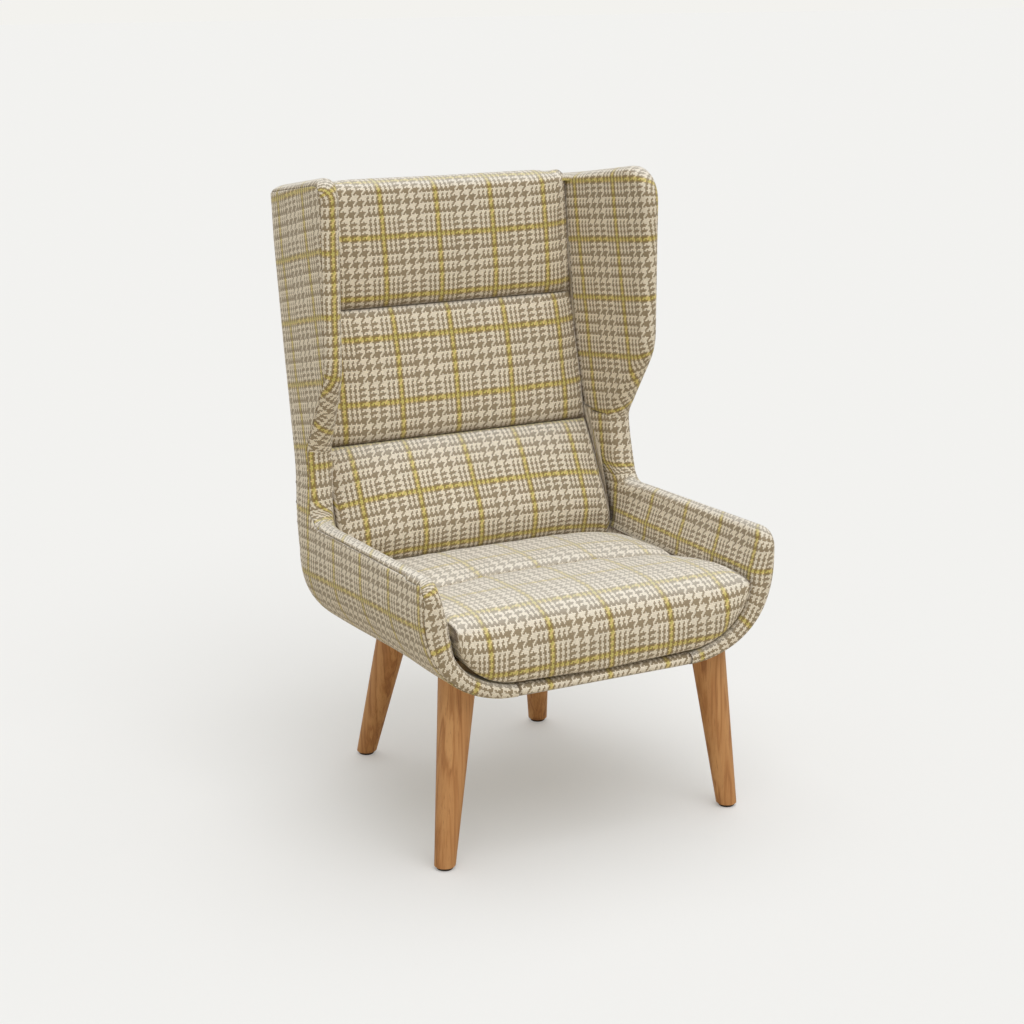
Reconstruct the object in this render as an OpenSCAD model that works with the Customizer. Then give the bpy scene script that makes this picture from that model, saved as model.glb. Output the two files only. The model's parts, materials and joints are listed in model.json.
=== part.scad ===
// High back lounge chair with wings, fixed cushions and four turned legs.
// X runs across the seat, the sitter faces -Y, Z is up and the floor is at zero.
// The sitter's left side is +X. The origin is on the floor under the middle of the chair.

/* [Shell] */
// Width over the arms
shell_w = 680; // [640:5:720]
// Height of the underside above the floor
underside_h = 304; // [280:1:330]
// Depth of the underside from the arm fronts to the rear face
underside_d = 568; // [550:1:600]
// Lean of the back from upright in degrees
recline = 10; // [8:0.5:12]
// Radius of the two lower corners seen from the front
lower_corner_r = 168; // [155:1:175]
// Radius of the two rear corners seen from above
rear_corner_r = 90; // [80:1:100]
// Radius where the underside turns up into the rear face
rear_turn_r = 70; // [60:1:80]
// Thickness of the padded side walls at their rims
side_wall_t = 33; // [31:0.5:36]
// Thickness of the wall behind the back cushion
back_wall_t = 34; // [33:0.5:38]

/* [Arms] */
// Height of the arm top at its front
arm_front_h = 530; // [515:1:545]
// Height of the arm top where it meets the wing post
arm_rear_h = 522; // [512:1:530]
// Radius of the arm's top front corner
arm_corner_r = 36; // [25:1:45]
// Turn of an arm's inner face towards the middle in degrees
arm_toe = 0.5; // [0:0.1:1]

/* [Wings] */
// Depth of a wing in front of the underside's rear edge
wing_d = 172; // [163:1:183]
// Height where the lines of the wing's front and top edges cross
wing_h = 1135; // [1115:1:1150]
// Fall of the wing's top edge towards the rear in degrees
wing_fall = 8.7; // [7:0.1:10]
// Radius of the wing's top front corner
wing_corner_r = 48; // [40:1:55]
// Height at which the wing's front edge starts to taper back
taper_h = 799; // [780:1:820]
// Radius of the bend at the start of the taper
taper_r = 110; // [90:1:130]
// Depth of the notch in front of the underside's rear edge
notch_d = 84; // [78:1:90]
// Height of the notch between wing and arm
notch_h = 647; // [635:1:660]
// Radius of the bend in the notch
notch_r = 26; // [20:1:32]
// Depth in front of the underside's rear edge at which the post meets the arm
post_d = 104; // [98:1:110]
// Radius of the inner bend between post and arm
post_r = 26; // [20:1:32]
// Turn of a wing's inner face towards the middle in degrees
wing_toe = 5.5; // [4:0.5:6.5]

/* [Covers] */
// Thickness of the outer covers
cover_t = 10; // [8:0.5:11]
// Thickness of the moulded plywood side panels
ply_t = 12; // [9:0.5:13]
// Width of the padded rim around covers and panels
rim_w = 20; // [17:1:24]
// Height of the front band at its middle
band_h = 20; // [18:0.5:23]

/* [Seat cushion] */
// Thickness of the side wall at the seat cushion's shoulder
seat_wall_t = 48; // [44:1:52]
// Radius of the seat well's lower corners
well_r = 120; // [110:1:130]
// Height of the seat well's shoulder above the underside
well_rise = 146; // [140:1:150]
// Height of the front bun's crest above the underside
front_crest_rise = 152; // [145:1:158]
// Height of the rear bun's crest above the underside
rear_crest_rise = 145; // [138:1:150]
// Drop of the cross seam below the front bun's crest
channel_drop = 17; // [12:1:22]
// Depth of the cross seam from the arm fronts
channel_y = 240; // [225:1:255]
// Fall of the seat's crown from the middle to its sides
seat_crown = 27; // [22:1:30]
// Reach of the rolled front edge
front_roll = 62; // [50:1:70]
// Distance by which the cushion stands proud of the arm fronts
front_proud = 2; // [0:0.5:4]
// Thickness of the lip in front of the front rail
lip_t = 42; // [38:1:44]
// Height of the seat deck above the underside
deck_rise = 68; // [64:1:70]

/* [Back cushion] */
// Distance of the back cushion's foot from the shell's sides
back_foot_inset = 56; // [55:1:62]
// Distance of the back cushion's top from the shell's sides
back_top_inset = 64; // [63:1:78]
// Height of the lower seam
lower_seam_h = 627; // [610:1:640]
// Height of the upper seam
upper_seam_h = 871; // [855:1:890]
// Height of the cushion's top
back_top_h = 1098; // [1085:1:1104]
// Depth of the lumbar panel's foot in front of the underside's rear edge
lumbar_d = 102; // [94:1:108]
// Depth of the lower seam in front of the cushion's rear face
lower_seam_t = 20; // [16:1:24]
// Depth of the upper seam in front of the cushion's rear face
upper_seam_t = 14; // [12:1:20]
// Crown of the lumbar panel
lumbar_crown = 28; // [20:1:32]
// Crown of the two upper panels
panel_crown = 21; // [15:1:26]

/* [Legs] */
// Diameter of a leg at the floor
leg_foot_d = 36.5; // [34:0.5:40]
// Diameter of a leg at the underside
leg_top_d = 63; // [56:0.5:66]
// Height of a leg's top inside the shell above the underside
leg_sink = 48; // [46:1:50]
// Distance of a front foot from the shell's side
front_foot_inset = 52; // [40:1:65]
// Distance of a front foot behind the arm fronts
front_foot_y = 53; // [45:1:65]
// Distance of a front leg's axis from the shell's side at the underside
front_leg_inset = 88; // [85:1:92]
// Distance of a front leg's axis behind the arm fronts at the underside
front_leg_y = 76; // [74:1:80]
// Distance of a rear foot from the shell's side
rear_foot_inset = 149; // [135:1:160]
// Distance of a rear foot behind the underside's rear edge
rear_foot_out = 29; // [12:1:47]
// Distance of a rear leg's axis from the shell's side at the underside
rear_leg_inset = 192; // [188:1:196]
// Distance of a rear leg's axis in front of the underside's rear edge
rear_leg_in = 38; // [34:1:44]
// Bevel around the cut end of a leg
leg_bevel = 1.6; // [1:0.1:2.5]
// Diameter of a glide
glide_d = 28.5; // [24:0.5:32]
// Thickness of a glide
glide_t = 4.5; // [3:0.5:6]
// Diameter of a glide's nail
nail_d = 2.8; // [2:0.1:4]
// Length of a glide's nail above the glide
nail_l = 20; // [15:1:25]

/* [Frame] */
// Width of a seat rail
rail_w = 25; // [22:1:28]
// Distance of the front rail's ends from the shell's sides
front_rail_inset = 128; // [128:1:132]
// Distance of the front leg blocks from the shell's sides
front_block_inset = 58; // [56:1:59]
// Depth of a leg block
block_d = 78; // [72:1:84]
// Distance of the rear rail in front of the underside's rear edge
rear_rail_inset = 87; // [85:1:90]
// Distance of the rear leg blocks from the shell's sides
rear_block_inset = 148; // [144:1:154]
// Distance of a rear leg block's inner face from the shell's side
rear_block_reach = 236; // [232:1:242]
// Distance of the side rails' inner faces from the shell's sides
side_rail_reach = 115; // [114:1:120]
// Distance of the back posts' inner faces from the shell's sides
post_reach = 44; // [42:1:46]
// Height of a back rail
back_rail_h = 46; // [38:1:52]
// Distance of the plywood flanges' inner edges from the shell's sides
flange_reach = 190; // [185:1:200]

/* [Webbing and hardware] */
// Width of a webbing strap
strap_w = 50; // [40:1:55]
// Thickness of a webbing strap
strap_t = 1.6; // [1.2:0.1:1.8]
// Number of seat straps that run from front to rear
seat_straps = 6; // [4:1:6]
// Number of seat straps that run across
cross_straps = 5; // [3:1:5]
// Number of back straps
back_straps = 8; // [5:1:9]
// Diameter of a leg bolt
bolt_d = 8; // [6:1:10]
// Length of a leg bolt inside the leg
bolt_grip = 42; // [35:1:50]
// Diameter of a tee nut's barrel
nut_d = 11; // [11:0.5:13]
// Diameter of a tee nut's flange
nut_flange_d = 24; // [20:1:26]
// Thickness of a tee nut's flange
nut_flange_t = 1.5; // [1:0.1:1.6]
// Diameter of a frame screw
screw_d = 4.5; // [3.5:0.5:5]
// Length of a frame screw
screw_l = 38; // [32:1:40]
// Diameter of a frame screw's head
screw_head_d = 9; // [7:0.5:10]

/* [Hidden] */

left = 1;
right = -1;
// Clearance between a soft form and what it lies against
soft_gap = 1.5;
// Clearance of a bore around its bolt, nail or screw
bore_gap = 0.15;
// Clearance of the covers and blocks around a leg
leg_gap = 0.3;
// Overrun of cuts
over = 1;
// Degrees between two points of an outline's bends
arc_step = 7.5;
$fn = 96;

half_w = shell_w / 2;

// Places measured from the shell's sides
back_seam_x = half_w - rear_corner_r;
floor_seam_x = half_w - lower_corner_r;
well_x = half_w - seat_wall_t;
back_foot_x = half_w - back_foot_inset;
back_top_x = half_w - back_top_inset;
front_foot_x = half_w - front_foot_inset;
front_leg_x = half_w - front_leg_inset;
rear_foot_x = half_w - rear_foot_inset;
rear_leg_x = half_w - rear_leg_inset;
front_rail_x = half_w - front_rail_inset;
front_block_x = half_w - front_block_inset;
rear_block_x = half_w - rear_block_inset;
rear_block_gap_x = half_w - rear_block_reach;
side_rail_x = half_w - side_rail_reach;
post_x = half_w - post_reach;
flange_x = half_w - flange_reach;

// Places measured from the underside's rear edge
wing_y = underside_d - wing_d;
notch_y = underside_d - notch_d;
post_y = underside_d - post_d;
lumbar_y = underside_d - lumbar_d;
rear_foot_y = underside_d + rear_foot_out;
rear_leg_y = underside_d - rear_leg_in;
rear_rail_y = underside_d - rear_rail_inset;

layer_t = cover_t + ply_t;
deck_h = underside_h + deck_rise;
well_h = underside_h + well_rise;
leg_top_h = underside_h + leg_sink;
far = 2 * underside_d;
tall = 2 * wing_h;

// Outline tools. An outline is a list of corners that runs counter-clockwise.
function unit(v) = v / norm(v);
function left_of(v) = [-v[1], v[0]];
function turned(v, a) = [v[0] * cos(a) - v[1] * sin(a), v[0] * sin(a) + v[1] * cos(a)];
function mix(a, b, share) = a + (b - a) * share;

// Corner i after the sides beside it have moved inwards by the depths in cut
function moved_corner(corners, cut, i) =
    let (
        n = len(corners),
        before = corners[(i + n - 1) % n],
        here = corners[i],
        after = corners[(i + 1) % n],
        u = unit(here - before),
        v = unit(after - here),
        a = here + left_of(u) * cut[(i + n - 1) % n],
        b = here + left_of(v) * cut[i]
    )
    a + u * (cross(b - a, v) / cross(u, v));

// Points of a bend of radius r at corner b
function bend(a, b, c, r) =
    let (
        u = unit(b - a),
        v = unit(c - b),
        turn = atan2(cross(u, v), u * v),
        start = b - u * r * tan(abs(turn) / 2),
        centre = start + left_of(u) * r * sign(turn),
        steps = ceil(abs(turn) / arc_step)
    )
    r <= 0 ? [b] : [for (k = [0:steps]) centre + turned(start - centre, turn * k / steps)];

// Outline with its sides moved inwards and its corners bent
function outline(corners, radii, cut) =
    let (
        n = len(corners),
        moved = [for (i = [0:n - 1]) moved_corner(corners, cut, i)]
    )
    [for (i = [0:n - 1])
        let (
            a = moved[(i + n - 1) % n],
            b = moved[i],
            c = moved[(i + 1) % n],
            inward = sign(cross(b - a, c - b)),
            depth = max(cut[i], cut[(i + n - 1) % n])
        )
        each bend(a, b, c, max(0, radii[i] - inward * depth))];

// Corner of the rear face and the wing's top edge
top_fall_share = tan(wing_fall);
lean_share = tan(recline);
rear_top_h = (wing_h - (underside_d - underside_h * lean_share - wing_y) * top_fall_share)
    / (1 + lean_share * top_fall_share);
rear_top_y = underside_d + (rear_top_h - underside_h) * lean_share;

// Shell seen from the side, from the lower front corner round by the rear
side_corners = [
    [0, underside_h],
    [underside_d, underside_h],
    [rear_top_y, rear_top_h],
    [wing_y, wing_h],
    [wing_y, taper_h],
    [notch_y, notch_h],
    [post_y, arm_rear_h],
    [0, arm_front_h]
];
rim_edge_r = side_wall_t / 2;
side_radii = [rim_edge_r, rear_turn_r, rim_edge_r / 2, wing_corner_r, taper_r, notch_r, post_r, arm_corner_r];

function side_outline(rim, skin) =
    outline(side_corners, side_radii, [skin, skin, rim, rim, rim, rim, rim, rim]);

// The seat cushion's front and the rear top edge are the ends of the whole chair
shell_back_y = max([for (p = side_outline(0, 0)) p[0]]);
middle_y = (shell_back_y - front_proud) / 2;

module centred() {
    translate([0, -middle_y, 0])
        children();
}

module mirrored(side) {
    mirror([side < 0 ? 1 : 0, 0, 0])
        children();
}

// Frame of the back: its XZ plane is the rear face, which leans back
module back_frame() {
    translate([0, underside_d, underside_h])
        rotate([-recline, 0, 0])
            children();
}

// Outer shape of the shell, moved inwards by rim at the open edges and by skin elsewhere
module shell_shape(rim, skin) {
    intersection() {
        translate([-half_w - over, 0, 0])
            rotate([90, 0, 90])
                linear_extrude(shell_w + 2 * over)
                    polygon(side_outline(rim, skin));
        translate([0, far, 0])
            rotate([90, 0, 0])
                linear_extrude(2 * far)
                    front_shape(skin);
        back_frame()
            translate([0, 0, -tall / 2])
                linear_extrude(2 * tall)
                    plan_shape(skin);
    }
}

// Front view of the shell with its two lower corners
module front_shape(skin) {
    w = half_w - skin;
    r = lower_corner_r - skin;
    low = underside_h + skin;
    translate([-w, low + r])
        square([2 * w, tall]);
    translate([r - w, low])
        square([2 * (w - r), tall]);
    for (side = [left, right])
        translate([side * (w - r), low + r])
            circle(r);
}

// Plan of the shell with its two rear corners, seen along the lean of the back
module plan_shape(skin) {
    w = half_w - skin;
    r = rear_corner_r - skin;
    translate([-w, -far])
        square([2 * w, far - skin - r]);
    translate([r - w, -far])
        square([2 * (w - r), far - skin]);
    for (side = [left, right])
        translate([side * (w - r), -skin - r])
            circle(r);
}

// Room inside an arm's inner face, over the seat well's rounded floor
well_corner_x = well_x - well_r;
arm_face_x = half_w - side_wall_t;
function well_points() = [
    [-half_w, underside_h + band_h],
    [0, underside_h + band_h],
    for (a = [-90:arc_step:0]) [well_corner_x + well_r * cos(a), well_h + well_r * sin(a)],
    [arm_face_x, arm_rear_h],
    [arm_face_x, tall],
    [-half_w, tall]
];

module well_side() {
    translate([arm_face_x, 0, 0])
        rotate([0, 0, arm_toe])
            translate([-arm_face_x, far, 0])
                rotate([90, 0, 0])
                    linear_extrude(2 * far)
                        polygon(well_points());
}

module well() {
    intersection() {
        well_side();
        mirrored(right)
            well_side();
        in_front_of_back(back_wall_t);
    }
}

// Room between the inner faces of the two wings
module wing_side() {
    translate([arm_face_x, wing_y, 0])
        rotate([0, 0, wing_toe])
            translate([-shell_w, -far, 0])
                cube([shell_w, 2 * far, tall]);
}

module wing_room() {
    intersection() {
        wing_side();
        mirrored(right)
            wing_side();
        in_front_of_back(back_wall_t);
    }
}

// Everything that lies at least depth in front of the rear face
module in_front_of_back(depth) {
    back_frame()
        translate([-shell_w, -far - depth, -tall / 2])
            cube([2 * shell_w, far, 2 * tall]);
}

// Everything in the zone of the rear corners
module rear_zone() {
    back_frame()
        translate([-shell_w, -rear_corner_r, -tall / 2])
            cube([2 * shell_w, far, 2 * tall]);
}

// The part of that zone that the padding leaves to the posts
module post_room() {
    difference() {
        rear_zone();
        lining_room();
    }
}

module lining_room() {
    intersection() {
        between(post_x, -far, far, deck_h, tall);
        in_front_of_back(back_wall_t);
    }
}

// One half of space outside the distance x from the middle plane
module beyond(side, x) {
    mirrored(side)
        translate([x, -far, 0])
            cube([shell_w, 3 * far, tall]);
}

module between(x, y0, y1, z0, z1) {
    translate([-x, y0, z0])
        cube([2 * x, y1 - y0, z1 - z0]);
}

// Skin of the shell between two depths, inside the padded rim
module layer(outer, inner) {
    difference() {
        shell_shape(rim_w, outer);
        shell_shape(-over, inner);
    }
}

turn_start_y = underside_d - rear_turn_r;

// Room of the bottom cover and of the outside back cover
module floor_room() {
    between(floor_seam_x, -over, turn_start_y, 0, well_h);
}

module back_room() {
    between(back_seam_x, turn_start_y, far, 0, tall);
}

// Legs: a turned cone along a tilted axis, cut level at foot and top
function foot_of(front, side) =
    front ? [side * front_foot_x, front_foot_y, 0] : [side * rear_foot_x, rear_foot_y, 0];
function seat_of(front, side) =
    front ? [side * front_leg_x, front_leg_y, underside_h] : [side * rear_leg_x, rear_leg_y, underside_h];

// Frame whose Z runs up a leg's axis from the floor, with the turned faces' joints at its sides
module leg_frame(front, side) {
    foot = foot_of(front, side);
    run = seat_of(front, side) - foot;
    translate(foot)
        rotate([0, acos(run[2] / norm(run)), atan2(run[1], run[0])])
            rotate([0, 0, 90])
                children();
}

function leg_length(front) = norm(seat_of(front, left) - foot_of(front, left));
leg_taper_share = (leg_top_d - leg_foot_d) / underside_h;

module leg_cone(front, side, gap) {
    low = -leg_foot_d;
    high = leg_length(front) + 2 * leg_sink;
    leg_frame(front, side)
        translate([0, 0, low])
            cylinder(
                h = high - low,
                d1 = leg_foot_d + low * leg_taper_share + 2 * gap,
                d2 = leg_foot_d + high * leg_taper_share + 2 * gap);
}

// What a leg takes up in the covers, panels and blocks
module leg_room(front, side) {
    intersection() {
        leg_cone(front, side, leg_gap);
        between(half_w, -far, far, 0, leg_top_h);
    }
}

module leg_rooms() {
    for (front = [true, false])
        for (side = [left, right])
            leg_room(front, side);
}

function glide_place(front, side) =
    let (foot = foot_of(front, side), seat = seat_of(front, side))
    mix(foot, seat, glide_t / underside_h);

module nail_bar(front, side, gap) {
    translate(glide_place(front, side))
        cylinder(h = nail_l + 2 * gap, d = nail_d + 2 * gap, $fn = 24);
}

// Distance along a leg's axis at which it reaches a level
function up_axis(front, level) = leg_length(front) * level / underside_h;

module bolt_bar(front, side, d, top) {
    low = up_axis(front, leg_top_h) - bolt_grip;
    leg_frame(front, side)
        translate([0, 0, low])
            cylinder(h = top - low, d = d, $fn = 32);
}

module leg(front, side) {
    bevel_h = leg_top_h - glide_t;
    tip_r = leg_foot_d / 2 - leg_bevel;
    color("burlywood")
        centred()
            difference() {
                intersection() {
                    leg_cone(front, side, 0);
                    between(half_w, -far, far, glide_t, leg_top_h);
                    translate(glide_place(front, side))
                        cylinder(h = bevel_h, r1 = tip_r, r2 = tip_r + bevel_h);
                }
                nail_bar(front, side, bore_gap);
                bolt_bar(front, side, bolt_d + 2 * bore_gap, up_axis(front, leg_top_h + leg_top_d));
            }
}

module glide(front, side) {
    edge = glide_t / 4;
    place = glide_place(front, side);
    color("saddlebrown")
        centred()
            translate([place[0], place[1], 0])
                rotate_extrude()
                    polygon([[0, 0], [glide_d / 2 - edge, 0], [glide_d / 2, edge], [glide_d / 2, glide_t], [0, glide_t]]);
}

module glide_nails() {
    color("silver")
        centred()
            for (front = [true, false])
                for (side = [left, right])
                    nail_bar(front, side, 0);
}

module leg_bolts() {
    color("silver")
        centred()
            for (front = [true, false])
                for (side = [left, right])
                    bolt_bar(front, side, bolt_d, nut_top(front));
}

// Tee nuts lie along the bolts, with their flanges let into the leg blocks
function nut_top(front) = up_axis(front, deck_h) - nut_flange_d / 8;
function nut_foot(front) = up_axis(front, leg_top_h) + bolt_d / 4;

module tee_nut(front, side) {
    bore_r = bolt_d / 2 + bore_gap;
    run = nut_top(front) - nut_foot(front);
    leg_frame(front, side)
        translate([0, 0, nut_foot(front)])
            rotate_extrude($fn = 32)
                polygon([
                    [bore_r, 0], [nut_d / 2, 0], [nut_d / 2, run - nut_flange_t],
                    [nut_flange_d / 2, run - nut_flange_t], [nut_flange_d / 2, run], [bore_r, run]]);
}

module tee_nuts() {
    color("silver")
        centred()
            for (front = [true, false])
                for (side = [left, right])
                    tee_nut(front, side);
}

// Room that a bolt and its tee nut take up in a block
module nut_room(front, side) {
    bolt_bar(front, side, bolt_d + 2 * bore_gap, nut_top(front));
    leg_frame(front, side) {
        translate([0, 0, nut_foot(front) - bore_gap])
            cylinder(h = nut_top(front) - nut_foot(front), d = nut_d + 2 * bore_gap, $fn = 32);
        translate([0, 0, nut_top(front) - nut_flange_t - bore_gap])
            cylinder(h = nut_flange_d, d = nut_flange_d + 2 * bore_gap, $fn = 32);
    }
}

module bottom_cover() {
    color("tan")
        centred()
            difference() {
                intersection() {
                    layer(0, cover_t);
                    floor_room();
                }
                leg_rooms();
            }
}

module outside_back() {
    color("tan")
        centred()
            difference() {
                intersection() {
                    layer(0, cover_t);
                    back_room();
                }
                leg_rooms();
            }
}

module side_cover(side) {
    color("tan")
        centred()
            difference() {
                intersection() {
                    layer(0, cover_t);
                    beyond(side, 0);
                }
                floor_room();
                back_room();
                leg_rooms();
            }
}

module side_panel(side) {
    color("peru")
        centred()
            difference() {
                intersection() {
                    layer(cover_t, layer_t);
                    beyond(side, flange_x);
                }
                rear_zone();
                leg_rooms();
                screw_rooms();
            }
}

// Padded rims and inner faces of the sides
module padding() {
    difference() {
        shell_shape(0, 0);
        difference() {
            shell_shape(rim_w, -over);
            difference() {
                shell_shape(-over, layer_t);
                post_room();
                between(shell_w, rim_w, far, 0, deck_h);
            }
        }
    }
}

module arm_pad(side) {
    color("wheat")
        centred()
            difference() {
                intersection() {
                    padding();
                    beyond(side, floor_seam_x);
                    between(shell_w, -far, far, 0, notch_h);
                }
                well();
            }
}

module wing_pad(side) {
    color("wheat")
        centred()
            difference() {
                intersection() {
                    padding();
                    beyond(side, back_seam_x);
                    between(shell_w, -far, far, notch_h, tall);
                }
                wing_room();
            }
}

module back_top_band() {
    color("wheat")
        centred()
            difference() {
                intersection() {
                    shell_shape(0, 0);
                    between(back_seam_x, notch_y, far, notch_h, tall);
                }
                shell_shape(rim_w, -over);
                wing_room();
            }
}

module front_band() {
    color("wheat")
        centred()
            difference() {
                intersection() {
                    shell_shape(0, 0);
                    between(floor_seam_x, -over, rim_w, 0, well_h);
                }
                well();
            }
}

// Seat frame: rails and blocks stand on the plywood flanges
block_y = lip_t + soft_gap;

module front_rail() {
    color("burlywood")
        centred()
            difference() {
                intersection() {
                    shell_shape(rim_w, layer_t);
                    between(front_rail_x, block_y, block_y + rail_w, 0, deck_h);
                }
                screw_rooms();
            }
}

module rear_rail() {
    color("burlywood")
        centred()
            difference() {
                intersection() {
                    shell_shape(rim_w, layer_t);
                    between(side_rail_x + rail_w, rear_rail_y - rail_w, rear_rail_y, 0, deck_h);
                }
                screw_rooms();
            }
}

module side_rail(side) {
    color("burlywood")
        centred()
            intersection() {
                shell_shape(rim_w, layer_t);
                beyond(side, side_rail_x);
                between(side_rail_x + rail_w, block_y + block_d, rear_rail_y - rail_w, 0, deck_h);
            }
}

module front_block(side) {
    color("peru")
        centred()
            difference() {
                intersection() {
                    shell_shape(rim_w, layer_t);
                    beyond(side, front_rail_x);
                    between(front_block_x, block_y, block_y + block_d, 0, deck_h);
                }
                leg_room(true, side);
                nut_room(true, side);
            }
}

module rear_block(side) {
    color("peru")
        centred()
            difference() {
                intersection() {
                    shell_shape(rim_w, layer_t);
                    beyond(side, rear_block_gap_x);
                    between(rear_block_x, rear_rail_y, rear_rail_y + block_d, 0, deck_h);
                }
                leg_room(false, side);
                nut_room(false, side);
                screw_rooms();
            }
}

// Back frame: two posts fill the rear corners and three rails join them
module back_post(side) {
    color("burlywood")
        centred()
            difference() {
                intersection() {
                    shell_shape(rim_w, cover_t);
                    beyond(side, back_seam_x);
                    rear_zone();
                }
                lining_room();
                leg_rooms();
                back_screw_rooms();
            }
}

back_h = (rear_top_h - underside_h) / cos(recline);
back_rail_shares = [0.17, 0.55, 0.93];
function back_rail_low(i) = back_h * back_rail_shares[i] - back_rail_h / 2;

module back_rail(i) {
    color("burlywood")
        centred()
            difference() {
                intersection() {
                    shell_shape(rim_w, cover_t);
                    back_frame()
                        translate([-back_seam_x, -back_wall_t, back_rail_low(i)])
                            cube([2 * back_seam_x, back_wall_t, back_rail_h]);
                }
                back_screw_rooms();
            }
}

// Webbing: straps from front to rear, straps across on top of them, and straps between the posts
module seat_webbing() {
    strap_span_x = 2 * (front_rail_x - strap_w / 2);
    cross_from = block_y + block_d + strap_w / 2;
    cross_to = rear_rail_y - strap_w / 2;
    color("dimgray")
        centred() {
            for (i = [0:seat_straps - 1])
                translate([strap_span_x * (i / (seat_straps - 1) - 1 / 2) - strap_w / 2, block_y, deck_h])
                    cube([strap_w, rear_rail_y - block_y, strap_t]);
            for (i = [0:cross_straps - 1])
                translate([
                    -side_rail_x - rail_w,
                    mix(cross_from, cross_to, i / (cross_straps - 1)) - strap_w / 2,
                    deck_h + strap_t])
                    cube([2 * (side_rail_x + rail_w), strap_w, strap_t]);
        }
}

module back_webbing() {
    low = back_rail_low(0) + back_rail_h / 2;
    high = back_rail_low(2) + back_rail_h / 2;
    reach_x = back_seam_x + rail_w;
    color("dimgray")
        centred()
            back_frame()
                for (i = [0:back_straps - 1])
                    translate([-reach_x, -back_wall_t - strap_t, mix(low, high, i / (back_straps - 1)) - strap_w / 2])
                        cube([2 * reach_x, strap_t, strap_w]);
}

// Frame screws come up through the plywood flanges, back screws run through the posts into the back rails
flange_screw_x = (flange_x + floor_seam_x) / 2;
flange_screw_places = [
    [flange_screw_x, block_y + rail_w / 2],
    [flange_screw_x, rear_rail_y - rail_w / 2],
    [floor_seam_x - screw_head_d / 2, rear_rail_y + screw_head_d]
];

module screw(gap) {
    cylinder(h = screw_l + gap, d = screw_d + 2 * gap, $fn = 24);
    cylinder(h = screw_head_d / 4 + gap, d1 = screw_head_d + 2 * gap, d2 = screw_d + 2 * gap, $fn = 24);
}

module frame_screw_set(gap) {
    for (side = [left, right])
        for (place = flange_screw_places)
            translate([side * place[0], place[1], underside_h + cover_t])
                screw(gap);
}

module screw_rooms() {
    frame_screw_set(bore_gap);
}

module frame_screws() {
    color("silver")
        centred()
            frame_screw_set(0);
}

module back_screw_set(gap) {
    depth = (cover_t + back_wall_t) / 2;
    head_x = back_seam_x + screw_l / 2;
    back_frame()
        for (side = [left, right])
            for (i = [0:2])
                for (end = [left, right])
                    translate([side * head_x, -depth, back_rail_low(i) + back_rail_h / 2 + end * back_rail_h / 4])
                        rotate([0, -side * 90, 0])
                            screw(gap);
}

module back_screw_rooms() {
    back_screw_set(bore_gap);
}

module back_screws() {
    color("silver")
        centred()
            back_screw_set(0);
}

// Soft forms: rings of points from one side to the other, closed by two flat ends
function ring_sides(rings, points) = [
    for (k = [0:rings - 2])
        for (i = [0:points - 1])
            let (
                a = k * points + i,
                b = k * points + (i + 1) % points
            )
            each [[a, b, b + points], [a, b + points, a + points]]
];

module soft_form(rings) {
    points = len(rings[0]);
    polyhedron(
        points = [for (ring = rings) each ring],
        faces = concat(
            [[for (i = [points - 1:-1:0]) i]],
            ring_sides(len(rings), points),
            [[for (i = [0:points - 1]) (len(rings) - 1) * points + i]]),
        convexity = 8);
}

soft_steps = 22;
soft_angles = [for (k = [0:soft_steps]) 180 * (k / soft_steps - 1 / 2)];

// Seat cushion
seat_half_w = well_x - 4 * soft_gap;
front_crest_h = underside_h + front_crest_rise;
rear_crest_h = underside_h + rear_crest_rise;
channel_h = front_crest_h - channel_drop;
seat_rear_y = underside_d + (deck_h - underside_h) * lean_share - back_wall_t - 4 * soft_gap;
seat_end_y = lumbar_y + soft_gap;
deck_top_h = deck_h + 2 * strap_t + soft_gap / 3;

function seat_half(y) = seat_half_w - max(0, y) * tan(arm_toe);

// Lower bound of the cushion over the well's rounded corner
function well_floor(x) =
    x <= well_corner_x
        ? underside_h + band_h + (well_h - well_r - underside_h - band_h) * x / well_corner_x + soft_gap
        : well_h - sqrt(max(0, pow(well_r, 2) - pow(x - well_corner_x, 2))) + soft_gap;

function seat_side(u) = pow(max(0, 1 - pow(abs(u), 3)), 0.6);
function bun(t) = sqrt(max(0, 1 - pow(abs(t), 3)));

// Height of the seat's surface at a share u of its half width and a depth y
function seat_line(y) =
    y < channel_y
        ? mix(channel_h, front_crest_h, bun(max(0, (y - front_roll) / (channel_y - front_roll))))
        : let (t = min(1, (y - channel_y) / (seat_end_y - channel_y)))
            mix(channel_h, channel_h - channel_drop, t)
                + (rear_crest_h - channel_h + channel_drop / 2) * bun(2 * t - 1);
function seat_top(u, y) =
    let (x = abs(u) * seat_half(y) + max(0, y) * tan(arm_toe))
    max(
        seat_line(y) - seat_crown * (1 - seat_side(u)),
        max(deck_top_h, well_floor(x)) + 2 * soft_gap);

roll_shares = [0, 0.17, 0.34, 0.5, 0.64, 0.77, 0.88, 0.96, 1];
bun_shares = [0.02, 0.06, 0.14, 0.28, 0.45, 0.62, 0.78, 0.9, 0.97];

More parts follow.
